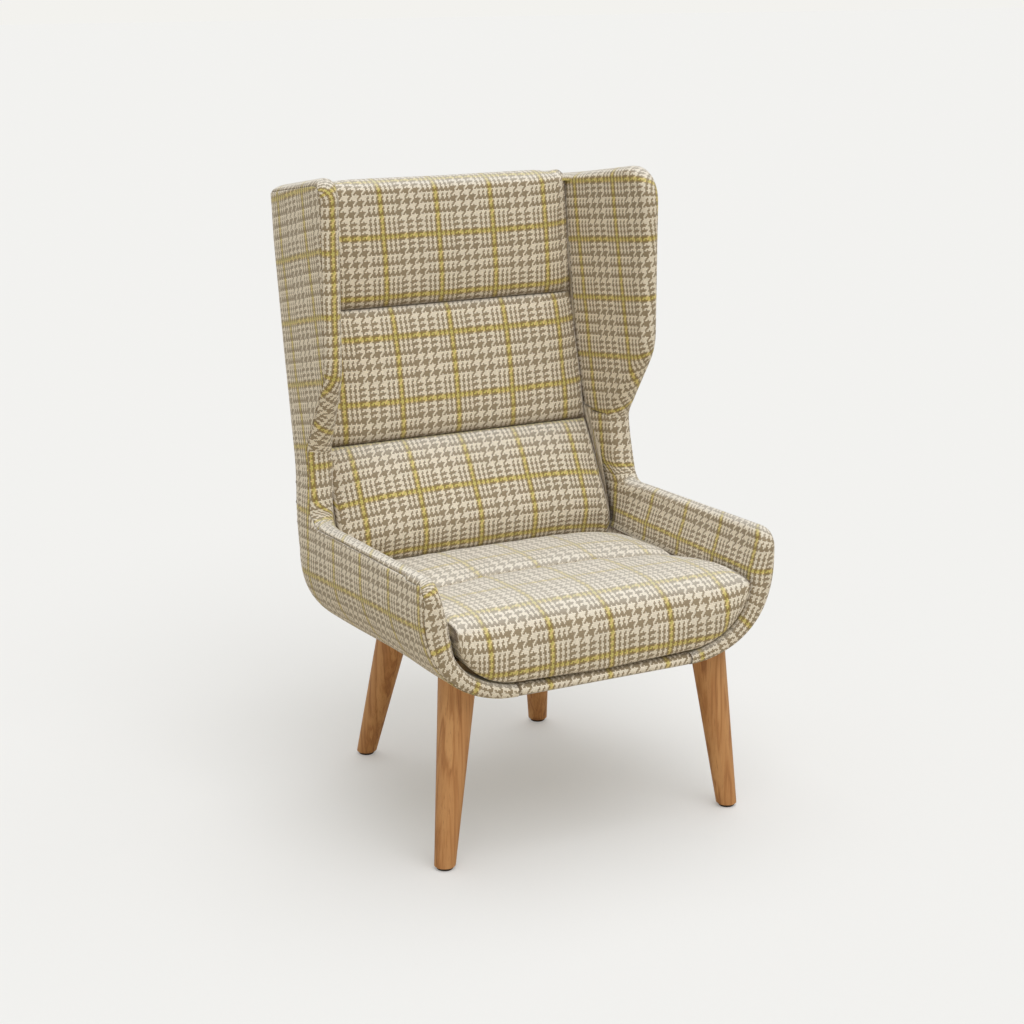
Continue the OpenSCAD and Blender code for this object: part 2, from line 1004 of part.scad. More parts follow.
function seat_ring(angle) =
    let (
        u = sin(angle),
        low = well_floor(abs(u) * seat_half_w),
        crest = seat_top(u, front_roll),
        roll_h = (crest - low) / 2.2,
        under = max(deck_top_h, well_floor(abs(u) * seat_half(seat_rear_y) + seat_rear_y * tan(arm_toe))),
        front_under = max(deck_top_h, low)
    )
    [
        for (p = concat(
            [[seat_rear_y, under]],
            [[seat_rear_y, seat_top(u, seat_end_y) - soft_gap]],
            [[seat_end_y, seat_top(u, seat_end_y)]],
            [for (i = [len(bun_shares) - 1:-1:0])
                let (y = mix(channel_y, seat_end_y, bun_shares[i]))
                [y, seat_top(u, y)]],
            [[channel_y, seat_top(u, channel_y) - soft_gap]],
            [for (i = [len(bun_shares) - 1:-1:0])
                let (y = mix(front_roll, channel_y, bun_shares[i]))
                [y, seat_top(u, y)]],
            [for (s = roll_shares)
                [front_roll - (front_roll + front_proud) * sin(90 * s), crest - roll_h * (1 - cos(90 * s))]],
            [[-front_proud, mix(crest - roll_h, low, 0.5)]],
            [[-front_proud + front_proud / 2, mix(crest - roll_h, low, 0.85)]],
            [[lip_t / 5, low]],
            [[lip_t, low]],
            [[lip_t, front_under]],
            [[mix(lip_t, seat_rear_y, 0.5), mix(front_under, under, 0.5)]]
        ))
        [u * seat_half(p[0]), p[0], p[1]]
    ];

module seat_cushion() {
    color("tan")
        centred()
            soft_form([for (a = soft_angles) seat_ring(a)]);
}

// Back cushion
function rear_y(h) = underside_d + (h - underside_h) * lean_share - (back_wall_t + strap_t + soft_gap) / cos(recline);
back_foot_h = underside_h + rear_crest_rise;
back_roll = 18;

function back_half(h) = mix(back_foot_x, back_top_x, (h - back_foot_h) / (back_top_h - back_foot_h));
edge_crown_share = 0.12;
function panel_side(u) = max(edge_crown_share, sqrt(max(0, 1 - pow(abs(u), 6))));

// Panels of the back cushion from the foot up: heights, seam depths and crowns
panel_hs = [back_foot_h, lower_seam_h, upper_seam_h, back_top_h - back_roll];
function panel_ys(u) = [
    lumbar_y + lumbar_crown / 2 * pow(u, 2),
    rear_y(lower_seam_h) - lower_seam_t,
    rear_y(upper_seam_h) - upper_seam_t,
    rear_y(back_top_h) - 2 * back_roll
];
panel_crowns = [lumbar_crown, panel_crown, panel_crown];

function panel_point(u, i, t) =
    let (ys = panel_ys(u), h = mix(panel_hs[i], panel_hs[i + 1], t))
    [mix(ys[i], ys[i + 1], t) - panel_crowns[i] * bun(2 * t - 1) * panel_side(u), h];

function back_ring(angle) =
    let (
        u = sin(angle),
        foot_y = panel_ys(u)[0],
        foot_rear_y = rear_y(back_foot_h - seat_crown - channel_drop) - soft_gap,
        top_y = rear_y(back_top_h) - back_roll
    )
    [
        for (p = concat(
            [for (y = [foot_rear_y, foot_y]) [y, seat_top(u, y) + 2 * soft_gap]],
            [for (i = [0:2])
                each [for (t = bun_shares) panel_point(u, i, t)]],
            [for (a = [0:30:150])
                [top_y - back_roll * cos(a), back_top_h - back_roll * (1 - sin(a))]],
            [[rear_y(back_top_h - 2 * back_roll), back_top_h - 2 * back_roll]]
        ))
        [u * back_half(p[1]), p[0], p[1]]
    ];

module back_cushion() {
    color("tan")
        centred()
            soft_form([for (a = soft_angles) back_ring(a)]);
}

leg(true, left);  // leg_front_left
leg(true, right);  // leg_front_right
leg(false, left);  // leg_rear_left
leg(false, right);  // leg_rear_right
glide(true, left);  // glide_front_left
glide(true, right);  // glide_front_right
glide(false, left);  // glide_rear_left
glide(false, right);  // glide_rear_right
glide_nails();
leg_bolts();
tee_nuts();
bottom_cover();
front_band();
side_cover(left);  // side_cover_left
side_cover(right);  // side_cover_right
outside_back();
back_top_band();
arm_pad(left);  // arm_pad_left
arm_pad(right);  // arm_pad_right
wing_pad(left);  // wing_pad_left
wing_pad(right);  // wing_pad_right
side_panel(left);  // side_panel_left
side_panel(right);  // side_panel_right
front_rail();
rear_rail();
side_rail(left);  // side_rail_left
side_rail(right);  // side_rail_right
front_block(left);  // front_block_left
front_block(right);  // front_block_right
rear_block(left);  // rear_block_left
rear_block(right);  // rear_block_right
back_post(left);  // back_post_left
back_post(right);  // back_post_right
back_rail(2);  // back_rail_top
back_rail(1);  // back_rail_middle
back_rail(0);  // back_rail_lumbar
seat_webbing();
back_webbing();
frame_screws();
back_screws();
seat_cushion();
back_cushion();
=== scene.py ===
"""High back lounge chair with wings, in a woven check, on four turned oak legs.

Lengths are in millimetres in the chair's own frame: X runs across the seat with the sitter's left side
positive, Y runs back from the arm fronts and Z up from the floor. world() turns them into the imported
model's metres.
"""
import json
import logging
import math
from dataclasses import dataclass, field, replace
from enum import Enum
from typing import Sequence

import bpy
import numpy as np
from mathutils import Euler, Matrix, Vector
from mathutils.geometry import delaunay_2d_cdt
from mathutils.kdtree import KDTree

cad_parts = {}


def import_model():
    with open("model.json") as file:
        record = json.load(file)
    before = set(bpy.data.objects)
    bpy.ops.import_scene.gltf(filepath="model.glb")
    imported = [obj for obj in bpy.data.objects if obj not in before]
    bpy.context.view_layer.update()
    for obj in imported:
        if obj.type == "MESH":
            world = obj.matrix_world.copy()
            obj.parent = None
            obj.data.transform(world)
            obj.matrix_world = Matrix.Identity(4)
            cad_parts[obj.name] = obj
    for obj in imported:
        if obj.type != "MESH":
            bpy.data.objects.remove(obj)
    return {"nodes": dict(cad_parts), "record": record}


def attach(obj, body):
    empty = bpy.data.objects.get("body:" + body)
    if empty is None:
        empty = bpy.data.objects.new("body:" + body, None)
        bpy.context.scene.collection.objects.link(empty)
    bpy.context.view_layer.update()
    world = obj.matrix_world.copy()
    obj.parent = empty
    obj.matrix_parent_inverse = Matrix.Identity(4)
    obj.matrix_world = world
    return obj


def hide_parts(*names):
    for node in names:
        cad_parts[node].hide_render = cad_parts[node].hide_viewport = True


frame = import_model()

LOG = logging.getLogger("lounge_chair")
MIDDLE_Y = 351.404
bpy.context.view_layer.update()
Array = np.ndarray
Colour = tuple[int, int, int]

# One repeat of the check across and along the warp, and the places of its yellow stripes as shares of it.
REPEAT = (115.5, 111.5)
STRIPE = (35 / 48, 33 / 44)


class Side(Enum):
    """The sitter's left or right side, as the sign of X."""

    LEFT = 1
    RIGHT = -1

    @property
    def word(self) -> str:
        """Word used in the names of nodes and pieces."""
        return self.name.lower()


def world(points: Array) -> Array:
    """Turn points of the chair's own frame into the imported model's metres.

    Args:
        points: rows of X, Y, Z in millimetres.

    Returns:
        Rows of X, Y, Z in metres.
    """
    moved = np.array(points, float)
    moved[:, 1] -= MIDDLE_Y
    return moved / 1000.0


def smooth(low: float, high: float, value: Array) -> Array:
    """Values eased from 0 at low to 1 at high."""
    t = np.clip((np.asarray(value, float) - low) / (high - low), 0.0, 1.0)
    return t * t * (3.0 - 2.0 * t)


def window(low: float, full: float, ease: float, end: float, value: Array) -> Array:
    """Values eased from 0 at low to 1 at full, and from 1 at ease back to 0 at end."""
    return smooth(low, full, value) * (1 - smooth(ease, end, value))


def lengths(points: Array, axis: int) -> Array:
    """Lengths run down the rows (axis 0) of a grid of points, or along them (axis 1), from 0."""
    steps = np.linalg.norm(np.diff(points, axis=axis), axis=2)
    return np.concatenate([np.zeros_like(np.take(steps, [0], axis)), np.cumsum(steps, axis=axis)], axis=axis)


def profile(y: Array, z: Array) -> Array:
    """Lengths run along a profile, from 0 at its start."""
    return np.concatenate([[0], np.cumsum(np.hypot(np.diff(y), np.diff(z)))])


def linear(red: int, green: int, blue: int) -> tuple[float, float, float, float]:
    """Turn a display colour from 0 to 255 into a linear colour.

    Args:
        red: red on the display.
        green: green on the display.
        blue: blue on the display.

    Returns:
        Linear red, green, blue and an alpha of 1.
    """
    channels = [c / 255.0 for c in (red, green, blue)]
    bent = [c / 12.92 if c <= 0.04045 else ((c + 0.055) / 1.055) ** 2.4 for c in channels]
    return (bent[0], bent[1], bent[2], 1.0)


class Graph:
    """Builder for the node tree of one material."""

    def __init__(self, name: str) -> None:
        """Make the material with a shader and an output.

        Args:
            name: the material's name.
        """
        self.material = bpy.data.materials.new(name)
        self.material.use_nodes = True
        self.tree = self.material.node_tree
        self.tree.nodes.clear()
        self.output = self.add("ShaderNodeOutputMaterial")
        self.shader = self.add("ShaderNodeBsdfPrincipled")
        self.link(self.shader.outputs["BSDF"], self.output.inputs["Surface"])

    def add(self, kind: str, **settings: object) -> bpy.types.Node:
        """Add a node.

        Args:
            kind: the node's type name.
            settings: attributes of the node to set.

        Returns:
            The new node.
        """
        node = self.tree.nodes.new(kind)
        for key, value in settings.items():
            setattr(node, key, value)
        return node

    def link(self, source: object, target: bpy.types.NodeSocket) -> None:
        """Feed a socket from another socket, or set its value.

        Args:
            source: socket or value to use.
            target: socket to feed.
        """
        if isinstance(source, bpy.types.NodeSocket):
            self.tree.links.new(source, target)
        else:
            target.default_value = source

    def math(self, operation: str, *values: object) -> bpy.types.NodeSocket:
        """Add a Math node.

        Args:
            operation: the node's operation.
            values: sockets or numbers for its inputs.

        Returns:
            The result's socket.
        """
        node = self.add("ShaderNodeMath", operation=operation)
        for value, target in zip(values, node.inputs):
            self.link(value, target)
        return node.outputs[0]

    def blend(self, share: object, low: object, high: object) -> bpy.types.NodeSocket:
        """Mix two numbers by a share."""
        return self.math("MULTIPLY_ADD", share, self.math("SUBTRACT", high, low), low)

    def mix(self, share: object, low: object, high: object, mode: str = "MIX") -> bpy.types.NodeSocket:
        """Mix two colours.

        Args:
            share: share of the second colour.
            low: first colour.
            high: second colour.
            mode: the blend mode.

        Returns:
            The mixed colour's socket.
        """
        node = self.add("ShaderNodeMix", data_type="RGBA", blend_type=mode)
        self.link(share, node.inputs[0])
        self.link(low, node.inputs[6])
        self.link(high, node.inputs[7])
        return node.outputs[2]

    def noise(self, vector: object, scale: float, detail: float = 2.0, rough: float = 0.5) -> bpy.types.NodeSocket:
        """Add a noise texture.

        Args:
            vector: coordinates to read.
            scale: scale of the noise.
            detail: number of octaves.
            rough: share of each further octave.

        Returns:
            The noise's value between 0 and 1.
        """
        node = self.add("ShaderNodeTexNoise")
        self.link(vector, node.inputs["Vector"])
        node.inputs["Scale"].default_value = scale
        node.inputs["Detail"].default_value = detail
        node.inputs["Roughness"].default_value = rough
        return node.outputs[0]

    def ramp(self, share: object, stops: Sequence[tuple[float, Sequence[float]]]) -> bpy.types.NodeSocket:
        """Add a colour ramp.

        Args:
            share: position on the ramp.
            stops: positions and their colours.

        Returns:
            The colour's socket.
        """
        node = self.add("ShaderNodeValToRGB")
        while len(node.color_ramp.elements) < len(stops):
            node.color_ramp.elements.new(0.5)
        for element, (place, colour) in zip(node.color_ramp.elements, stops):
            element.position = place
            element.color = colour
        self.link(share, node.inputs[0])
        return node.outputs[0]

    def place(self, turn: Euler | None = None, scale: Sequence[float] = (1, 1, 1),
              move: Sequence[float] = (0, 0, 0)) -> bpy.types.NodeSocket:
        """Object coordinates through a Mapping node.

        Args:
            turn: rotation of the coordinates.
            scale: scale along each axis.
            move: offset along each axis.

        Returns:
            The mapped coordinates.
        """
        node = self.add("ShaderNodeMapping")
        self.link(self.add("ShaderNodeTexCoord").outputs["Object"], node.inputs["Vector"])
        node.inputs["Location"].default_value = move
        node.inputs["Rotation"].default_value = turn or Euler((0, 0, 0))
        node.inputs["Scale"].default_value = scale
        return node.outputs[0]

    def bump(self, height: object, strength: float, distance: float, before: object = None) -> bpy.types.NodeSocket:
        """Add a Bump node.

        Args:
            height: height between 0 and 1.
            strength: share of the effect.
            distance: depth of the relief in metres.
            before: normal to build on.

        Returns:
            The bumped normal.
        """
        node = self.add("ShaderNodeBump")
        node.inputs["Strength"].default_value = strength
        node.inputs["Distance"].default_value = distance
        self.link(height, node.inputs["Height"])
        if before is not None:
            self.link(before, node.inputs["Normal"])
        return node.outputs[0]

    def finish(self, **values: object) -> bpy.types.Material:
        """Set the shader's inputs by name, with underscores for blanks.

        Args:
            values: sockets or values for the shader's inputs.

        Returns:
            The finished material.
        """
        for key, value in values.items():
            self.link(value, self.shader.inputs[key.replace("_", " ")])
        return self.material


@dataclass(frozen=True)
class Check:
    """Woven check: a two-and-two twill whose warp and weft change colour in blocks of four and two yarns.

    The piece's UV map counts whole repeats of the check.
    """

    name: str = "woven_check"
    warp_yarns: int = 48
    weft_yarns: int = 44
    block_yarns: int = 24
    warp_stripe: float = 35.0
    weft_stripe: float = 33.0
    cream: Colour = (243, 233, 215)
    taupe: Colour = (163, 147, 121)
    yellow: Colour = (214, 202, 120)
    tint: Colour = (244, 230, 162)
    # Painted highlight: a pale colour mixed onto faces that point up, where the lamps above fall, and its share.
    top_highlight: Colour = (238, 241, 244)
    top_highlight_share: float = 0.30
    # Painted shade: a dark brown mixed into seams and creases by the crease shade attribute, at most this share.
    shadow: Colour = (96, 72, 42)
    crease_shade_share: float = 0.8
    glow_near: float = 1.0
    glow_far: float = 3.1
    relief: float = 0.0006

    def material(self) -> bpy.types.Material:
        """Build the cloth.

        Returns:
            The material, which reads the UV map called weave, an attribute of painted shade for seams and creases and
            an attribute of a painted highlight on faces that point up.
        """
        g = Graph(self.name)
        uv = g.add("ShaderNodeUVMap", uv_map="weave").outputs[0]
        split = g.add("ShaderNodeSeparateXYZ")
        g.link(uv, split.inputs[0])
        drift_u = g.math("SUBTRACT", g.noise(uv, 2.3, 1.0), 0.5)
        drift_v = g.math("SUBTRACT", g.noise(g.place(move=(3, 1, 2)), 9.0, 1.0), 0.5)
        u = g.math("MULTIPLY", g.math("MULTIPLY_ADD", drift_u, 0.022, split.outputs[0]), float(self.warp_yarns))
        v = g.math("MULTIPLY", g.math("MULTIPLY_ADD", drift_v, 0.02, split.outputs[1]), float(self.weft_yarns))
        i, j = g.math("FLOOR", u), g.math("FLOOR", v)
        fu, fv = g.math("FRACT", u), g.math("FRACT", v)
        step = g.math("FLOORED_MODULO", g.math("ADD", g.math("SUBTRACT", i, j), 1.0), 4.0)
        warp_up = g.math("LESS_THAN", step, 1.5)
        dark_i, glow_i = self._sequence(g, i, u, self.warp_yarns, self.warp_stripe, False)
        dark_j, glow_j = self._sequence(g, j, v, self.weft_yarns, self.weft_stripe, True)
        dark = g.blend(warp_up, dark_j, dark_i)
        bright = g.math("MAXIMUM", glow_i, glow_j)
        along_warp = g.math("SUBTRACT", g.math("ADD", step, 1.0), fv)
        along_weft = g.math("ADD", g.math("SUBTRACT", step, 2.0), fu)
        along = g.blend(warp_up, along_weft, along_warp)
        across = g.blend(warp_up, fv, fu)
        round_across = g.math("MULTIPLY", g.math("MULTIPLY", across, 4.0), g.math("SUBTRACT", 1.0, across))
        arch = g.math("MULTIPLY_ADD", g.math("SINE", g.math("MULTIPLY", along, math.pi / 2)), 0.5, 0.5)
        height = g.math("MULTIPLY", round_across, arch)
        yarn = g.add("ShaderNodeTexWhiteNoise", noise_dimensions="1D")
        g.link(g.blend(warp_up, g.math("ADD", j, 731.5), i), yarn.inputs["W"])
        fibre = g.noise(uv, 420.0, 2.0, 0.7)
        cloud = g.noise(g.place(), 7.0, 2.0)
        own = g.blend(warp_up, self._own(g, j, self.weft_yarns, self.weft_stripe),
                      self._own(g, i, self.warp_yarns, self.warp_stripe))
        cloth = g.mix(dark, linear(*self.cream), linear(*self.taupe))
        tint = g.mix(1.0, cloth, linear(*self.tint), "MULTIPLY")
        cloth = g.mix(g.math("MULTIPLY", bright, 0.95), cloth, tint)
        cloth = g.mix(own, cloth, linear(*self.yellow))
        # Tone that differs from yarn to yarn, in the fibres and in soft clouds, plus painted shade in the gaps between
        # yarns where the yarn height is low.
        gain = g.math("MULTIPLY_ADD", yarn.outputs[0], 0.12, 0.87)
        for part, reach, least in ((fibre, 0.26, 0.90), (g.math("SQRT", height), 0.30, 0.80), (cloud, 0.10, 0.95)):
            gain = g.math("MULTIPLY", gain, g.math("MULTIPLY_ADD", part, reach, least))
        grey = g.add("ShaderNodeCombineXYZ")
        for k in range(3):
            g.link(gain, grey.inputs[k])
        cloth = g.mix(1.0, cloth, grey.outputs[0], "MULTIPLY")
        crease_shade = g.add("ShaderNodeAttribute", attribute_name="crease_shade").outputs["Fac"]
        top_highlight = g.add("ShaderNodeAttribute", attribute_name="top_highlight").outputs["Fac"]
        # Painted highlight: faces that point up are mixed towards a pale colour.
        cloth = g.mix(g.math("MULTIPLY", top_highlight, self.top_highlight_share), cloth, linear(*self.top_highlight))
        # Painted shade: seams and creases are darkened towards the shadow colour by the crease shade per point.
        shaded = g.mix(1.0, cloth, linear(*self.shadow), "MULTIPLY")
        cloth = g.mix(g.math("MULTIPLY", crease_shade, self.crease_shade_share), cloth, shaded)
        relief = g.bump(g.math("ADD", height, g.math("MULTIPLY", fibre, 0.35)), 0.55, self.relief)
        return g.finish(Base_Color=cloth, Roughness=0.93, Normal=relief, Specular_IOR_Level=0.22,
                        Sheen_Weight=0.50, Sheen_Roughness=0.45)

    def _own(self, g: Graph, yarn: object, repeat: int, stripe: float) -> object:
        """Whether a numbered yarn is one of the two yellow ones, as 0 or 1."""
        number = g.math("FLOORED_MODULO", yarn, float(repeat))
        return g.math("LESS_THAN", g.math("ABSOLUTE", g.math("SUBTRACT", number, stripe - 0.5)), 0.9)

    def _sequence(self, g: Graph, yarn: object, place: object, repeat: int, stripe: float,
                  late: bool) -> tuple[object, object]:
        """Colour of a numbered yarn.

        Args:
            g: the material's builder.
            yarn: the yarn's number.
            place: the point's place across the yarns.
            repeat: yarns in one repeat.
            stripe: place of the yellow stripe's middle in a repeat.
            late: whether a block's dark yarns come after its pale ones.

        Returns:
            Whether the yarn is dark, as 0 or 1, and how yellow the cloth looks there.
        """
        number = g.math("FLOORED_MODULO", yarn, float(repeat))
        coarse = g.math("LESS_THAN", number, self.block_yarns - 0.5)
        fours = g.math("LESS_THAN", g.math("FLOORED_MODULO", number, 8.0), 3.5)
        twos = g.math("LESS_THAN", g.math("FLOORED_MODULO", number, 4.0), 1.5)
        dark = g.blend(coarse, twos, fours)
        if late:
            dark = g.math("SUBTRACT", 1.0, dark)
        off = g.math("ABSOLUTE", g.math("SUBTRACT", g.math("FLOORED_MODULO", place, float(repeat)), stripe))
        glow = g.add("ShaderNodeMapRange", interpolation_type="SMOOTHSTEP")
        for value, target in zip((off, self.glow_near, self.glow_far, 1.0, 0.0), glow.inputs):
            g.link(value, target)
        return dark, glow.outputs[0]


@dataclass(frozen=True)
class Wood:
    """Wood with straight grain along a piece's length."""

    name: str
    pale: Colour
    mid: Colour
    dark: Colour
    turn: tuple[float, float, float] = (0.0, 0.0, 0.0)
    grain: float = 1.0
    roughness: float = 0.46
    coat: float = 0.12

    def material(self) -> bpy.types.Material:
        """Build the wood.

        Returns:
            The material, whose grain runs along the turned Z axis.
        """
        g = Graph(self.name)
        turn = Euler(self.turn)
        k = self.grain
        wavy = g.noise(g.place(turn, (14 * k, 14 * k, 1.6)), 1.0, 2.0)
        growth = g.noise(g.place(turn, (75 * k, 75 * k, 2.2)), 1.0, 3.0, 0.6)
        rings = g.math("FRACT", g.math("MULTIPLY", g.math("MULTIPLY_ADD", growth, 0.45, wavy), 7.0))
        ring = g.math("POWER", g.math("ABSOLUTE", g.math("MULTIPLY_ADD", rings, 2.0, -1.0)), 1.6)
        pores = g.noise(g.place(turn, (620 * k, 620 * k, 16)), 1.0, 2.0, 0.7)
        fleck = g.math("MULTIPLY", g.math("GREATER_THAN", pores, 0.6), g.math("SUBTRACT", pores, 0.55))
        base = g.ramp(g.math("MULTIPLY_ADD", ring, 0.35, g.math("MULTIPLY", growth, 0.65)),
                      [(0.25, linear(*self.pale)), (0.52, linear(*self.mid)), (0.85, linear(*self.dark))])
        base = g.mix(g.math("MULTIPLY", fleck, 3.0), base, linear(*self.dark))
        rough = g.math("MULTIPLY_ADD", pores, 0.16, self.roughness - 0.05)
        hollow = g.math("MULTIPLY_ADD", fleck, 2.0, g.math("MULTIPLY", ring, 0.2))
        relief = g.bump(g.math("SUBTRACT", 1.0, hollow), 0.3, 0.0004)
        return g.finish(Base_Color=base, Roughness=rough, Normal=relief, Coat_Weight=self.coat, Coat_Roughness=0.35)


@dataclass(frozen=True)
class Ply:
    """Moulded plywood with plies on its edges."""

    name: str = "birch_ply"

    def material(self) -> bpy.types.Material:
        """Build the plywood, with thin glue lines along X.

        Returns:
            The material.
        """
        g = Graph(self.name)
        split = g.add("ShaderNodeSeparateXYZ")
        g.link(g.place(), split.inputs[0])
        plies = g.math("FRACT", g.math("MULTIPLY", split.outputs[0], 650.0))
        line = g.math("LESS_THAN", g.math("ABSOLUTE", g.math("SUBTRACT", plies, 0.5)), 0.07)
        veneer = g.noise(g.place(scale=(10, 3, 60)), 3.0, 3.0)
        base = g.ramp(veneer, [(0.3, linear(218, 190, 148)), (0.7, linear(196, 162, 116))])
        base = g.mix(g.math("MULTIPLY", line, 0.5), base, linear(120, 86, 52))
        relief = g.bump(veneer, 0.15, 0.0004)
        return g.finish(Base_Color=base, Roughness=0.62, Normal=relief)


@dataclass(frozen=True)
class Moulding:
    """Moulded plastic with a fine grain."""

    name: str
    colour: Colour
    roughness: float = 0.5

    def material(self) -> bpy.types.Material:
        """Build the plastic, rubbed paler where it wears.

        Returns:
            The material.
        """
        g = Graph(self.name)
        grain = g.noise(g.place(), 900.0, 2.0)
        rub = g.noise(g.place(move=(1, 0, 4)), 60.0, 3.0)
        pale = tuple(min(255, c + 40) for c in self.colour)
        base = g.mix(g.math("MULTIPLY", rub, 0.45), linear(*self.colour), linear(*pale))
        rough = g.math("MULTIPLY_ADD", rub, 0.25, self.roughness - 0.1)
        return g.finish(Base_Color=base, Roughness=rough, Normal=g.bump(grain, 0.2, 0.0002))


@dataclass(frozen=True)
class Metal:
    """Plated steel with fine marks."""

    name: str = "plated_steel"
    colour: Colour = (196, 194, 188)

    def material(self) -> bpy.types.Material:
        """Build the metal, with marks along Z.

        Returns:
            The material.
        """
        g = Graph(self.name)
        marks = g.noise(g.place(scale=(1, 1, 0.1)), 1400.0, 2.0)
        stain = g.noise(g.place(), 90.0, 2.0)
        base = g.mix(stain, linear(*self.colour), linear(150, 146, 138))
        rough = g.math("MULTIPLY_ADD", marks, 0.25, 0.2)
        return g.finish(Base_Color=base, Roughness=rough, Metallic=1.0, Normal=g.bump(marks, 0.12, 0.0001))


@dataclass(frozen=True)
class Strap:
    """Woven elastic webbing."""

    name: str = "elastic_webbing"

    def material(self) -> bpy.types.Material:
        """Build the webbing, with ribs across and cords along it.

        Returns:
            The material.
        """
        g = Graph(self.name)
        split = g.add("ShaderNodeSeparateXYZ")
        g.link(g.place(), split.inputs[0])
        ribs = g.math("SINE", g.math("MULTIPLY", g.math("ADD", split.outputs[0], split.outputs[2]), 3600.0))
        cords = g.math("SINE", g.math("MULTIPLY", split.outputs[1], 2600.0))
        height = g.math("MULTIPLY_ADD", g.math("MULTIPLY", ribs, cords), 0.5, 0.5)
        wear = g.noise(g.place(), 40.0, 3.0)
        base = g.mix(height, linear(58, 52, 44), linear(104, 94, 78))
        base = g.mix(g.math("MULTIPLY", wear, 0.3), base, linear(140, 126, 100))
        return g.finish(Base_Color=base, Roughness=0.9, Normal=g.bump(height, 0.5, 0.0005))


@dataclass
class Piece:
    """Points and faces of one piece before it becomes an object."""

    points: Array
    faces: list[tuple[int, ...]]
    repeats: Array
    crease_shade: Array

    def joined(self, other: "Piece") -> "Piece":
        """Put this piece and another together, without welding them.

        Args:
            other: the piece to add.

        Returns:
            Both as one piece.
        """
        shift = len(self.points)
        faces = self.faces + [tuple(k + shift for k in f) for f in other.faces]
        return Piece(np.vstack([self.points, other.points]), faces,
                     np.vstack([self.repeats, other.repeats]), np.concatenate([self.crease_shade, other.crease_shade]))

    def mirrored(self, side: Side) -> "Piece":
        """Turn a piece of the sitter's left into one side's.

        Args:
            side: the side wanted.

        Returns:
            The piece itself, or its mirror image with its faces still outwards.
        """
        if side is Side.LEFT:
            return self
        points = self.points * np.array([-1.0, 1.0, 1.0])
        return Piece(points, [tuple(reversed(f)) for f in self.faces], self.repeats, self.crease_shade)

    @classmethod
    def sheet(cls, points: Array, repeats: Array, crease_shade: Array) -> "Piece":
        """Make a piece from a grid of points.

        Args:
            points: points by row and column.
            repeats: repeats of the check at the points.
            crease_shade: depth of the seams' shadow at the points.

        Returns:
            The piece, with its faces wound against the grid.
        """
        rows, columns = points.shape[:2]
        faces = [(p + columns, p + columns + 1, p + 1, p)
                 for p in (r * columns + c for r in range(rows - 1) for c in range(columns - 1))]
        return cls(points.reshape(-1, 3), faces, repeats.reshape(-1, 2), crease_shade.ravel())

    def build(self, name: str, material: bpy.types.Material) -> bpy.types.Object:
        """Make the object.

        Args:
            name: name of the piece.
            material: its finish.

        Returns:
            The object, with its place in its mesh.
        """
        mesh = bpy.data.meshes.new(name)
        mesh.from_pydata(world(self.points).tolist(), [], self.faces)
        layer = mesh.uv_layers.new(name="weave")
        loops = np.zeros(len(mesh.loops), np.int32)
        mesh.loops.foreach_get("vertex_index", loops)
        layer.data.foreach_set("uv", self.repeats[loops].astype(np.float32).ravel())
        # Painted shade per point for seams and creases.
        attribute = mesh.attributes.new("crease_shade", "FLOAT", "POINT")
        attribute.data.foreach_set("value", self.crease_shade.astype(np.float32))
        mesh.polygons.foreach_set("use_smooth", [True] * len(mesh.polygons))
        # Painted highlight: a share per point that grows as its normal turns up, read by the cloth to pale the tops.
        normals = np.zeros(len(mesh.vertices) * 3, np.float32)
        mesh.vertex_normals.foreach_get("vector", normals)
        top_highlight_layer = mesh.attributes.new("top_highlight", "FLOAT", "POINT")
        top_highlight_layer.data.foreach_set("value", smooth(0.45, 0.97, normals[2::3]).astype(np.float32))
        mesh.materials.append(material)
        mesh.update()
        thing = bpy.data.objects.new(name, mesh)
        bpy.context.scene.collection.objects.link(thing)
        return thing


def settle(thing: bpy.types.Object, slot: str, *nodes: str) -> None:
    """Let a piece ride on the chair's one body, in place of CAD nodes.

    Args:
        thing: the finished piece.
        slot: material slot of the record; not used.
        nodes: CAD nodes that it stands for.
    """
    if nodes:
        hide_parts(*nodes)
    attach(thing, "root")
    LOG.info("%s: %d faces", thing.name, len(thing.data.polygons))


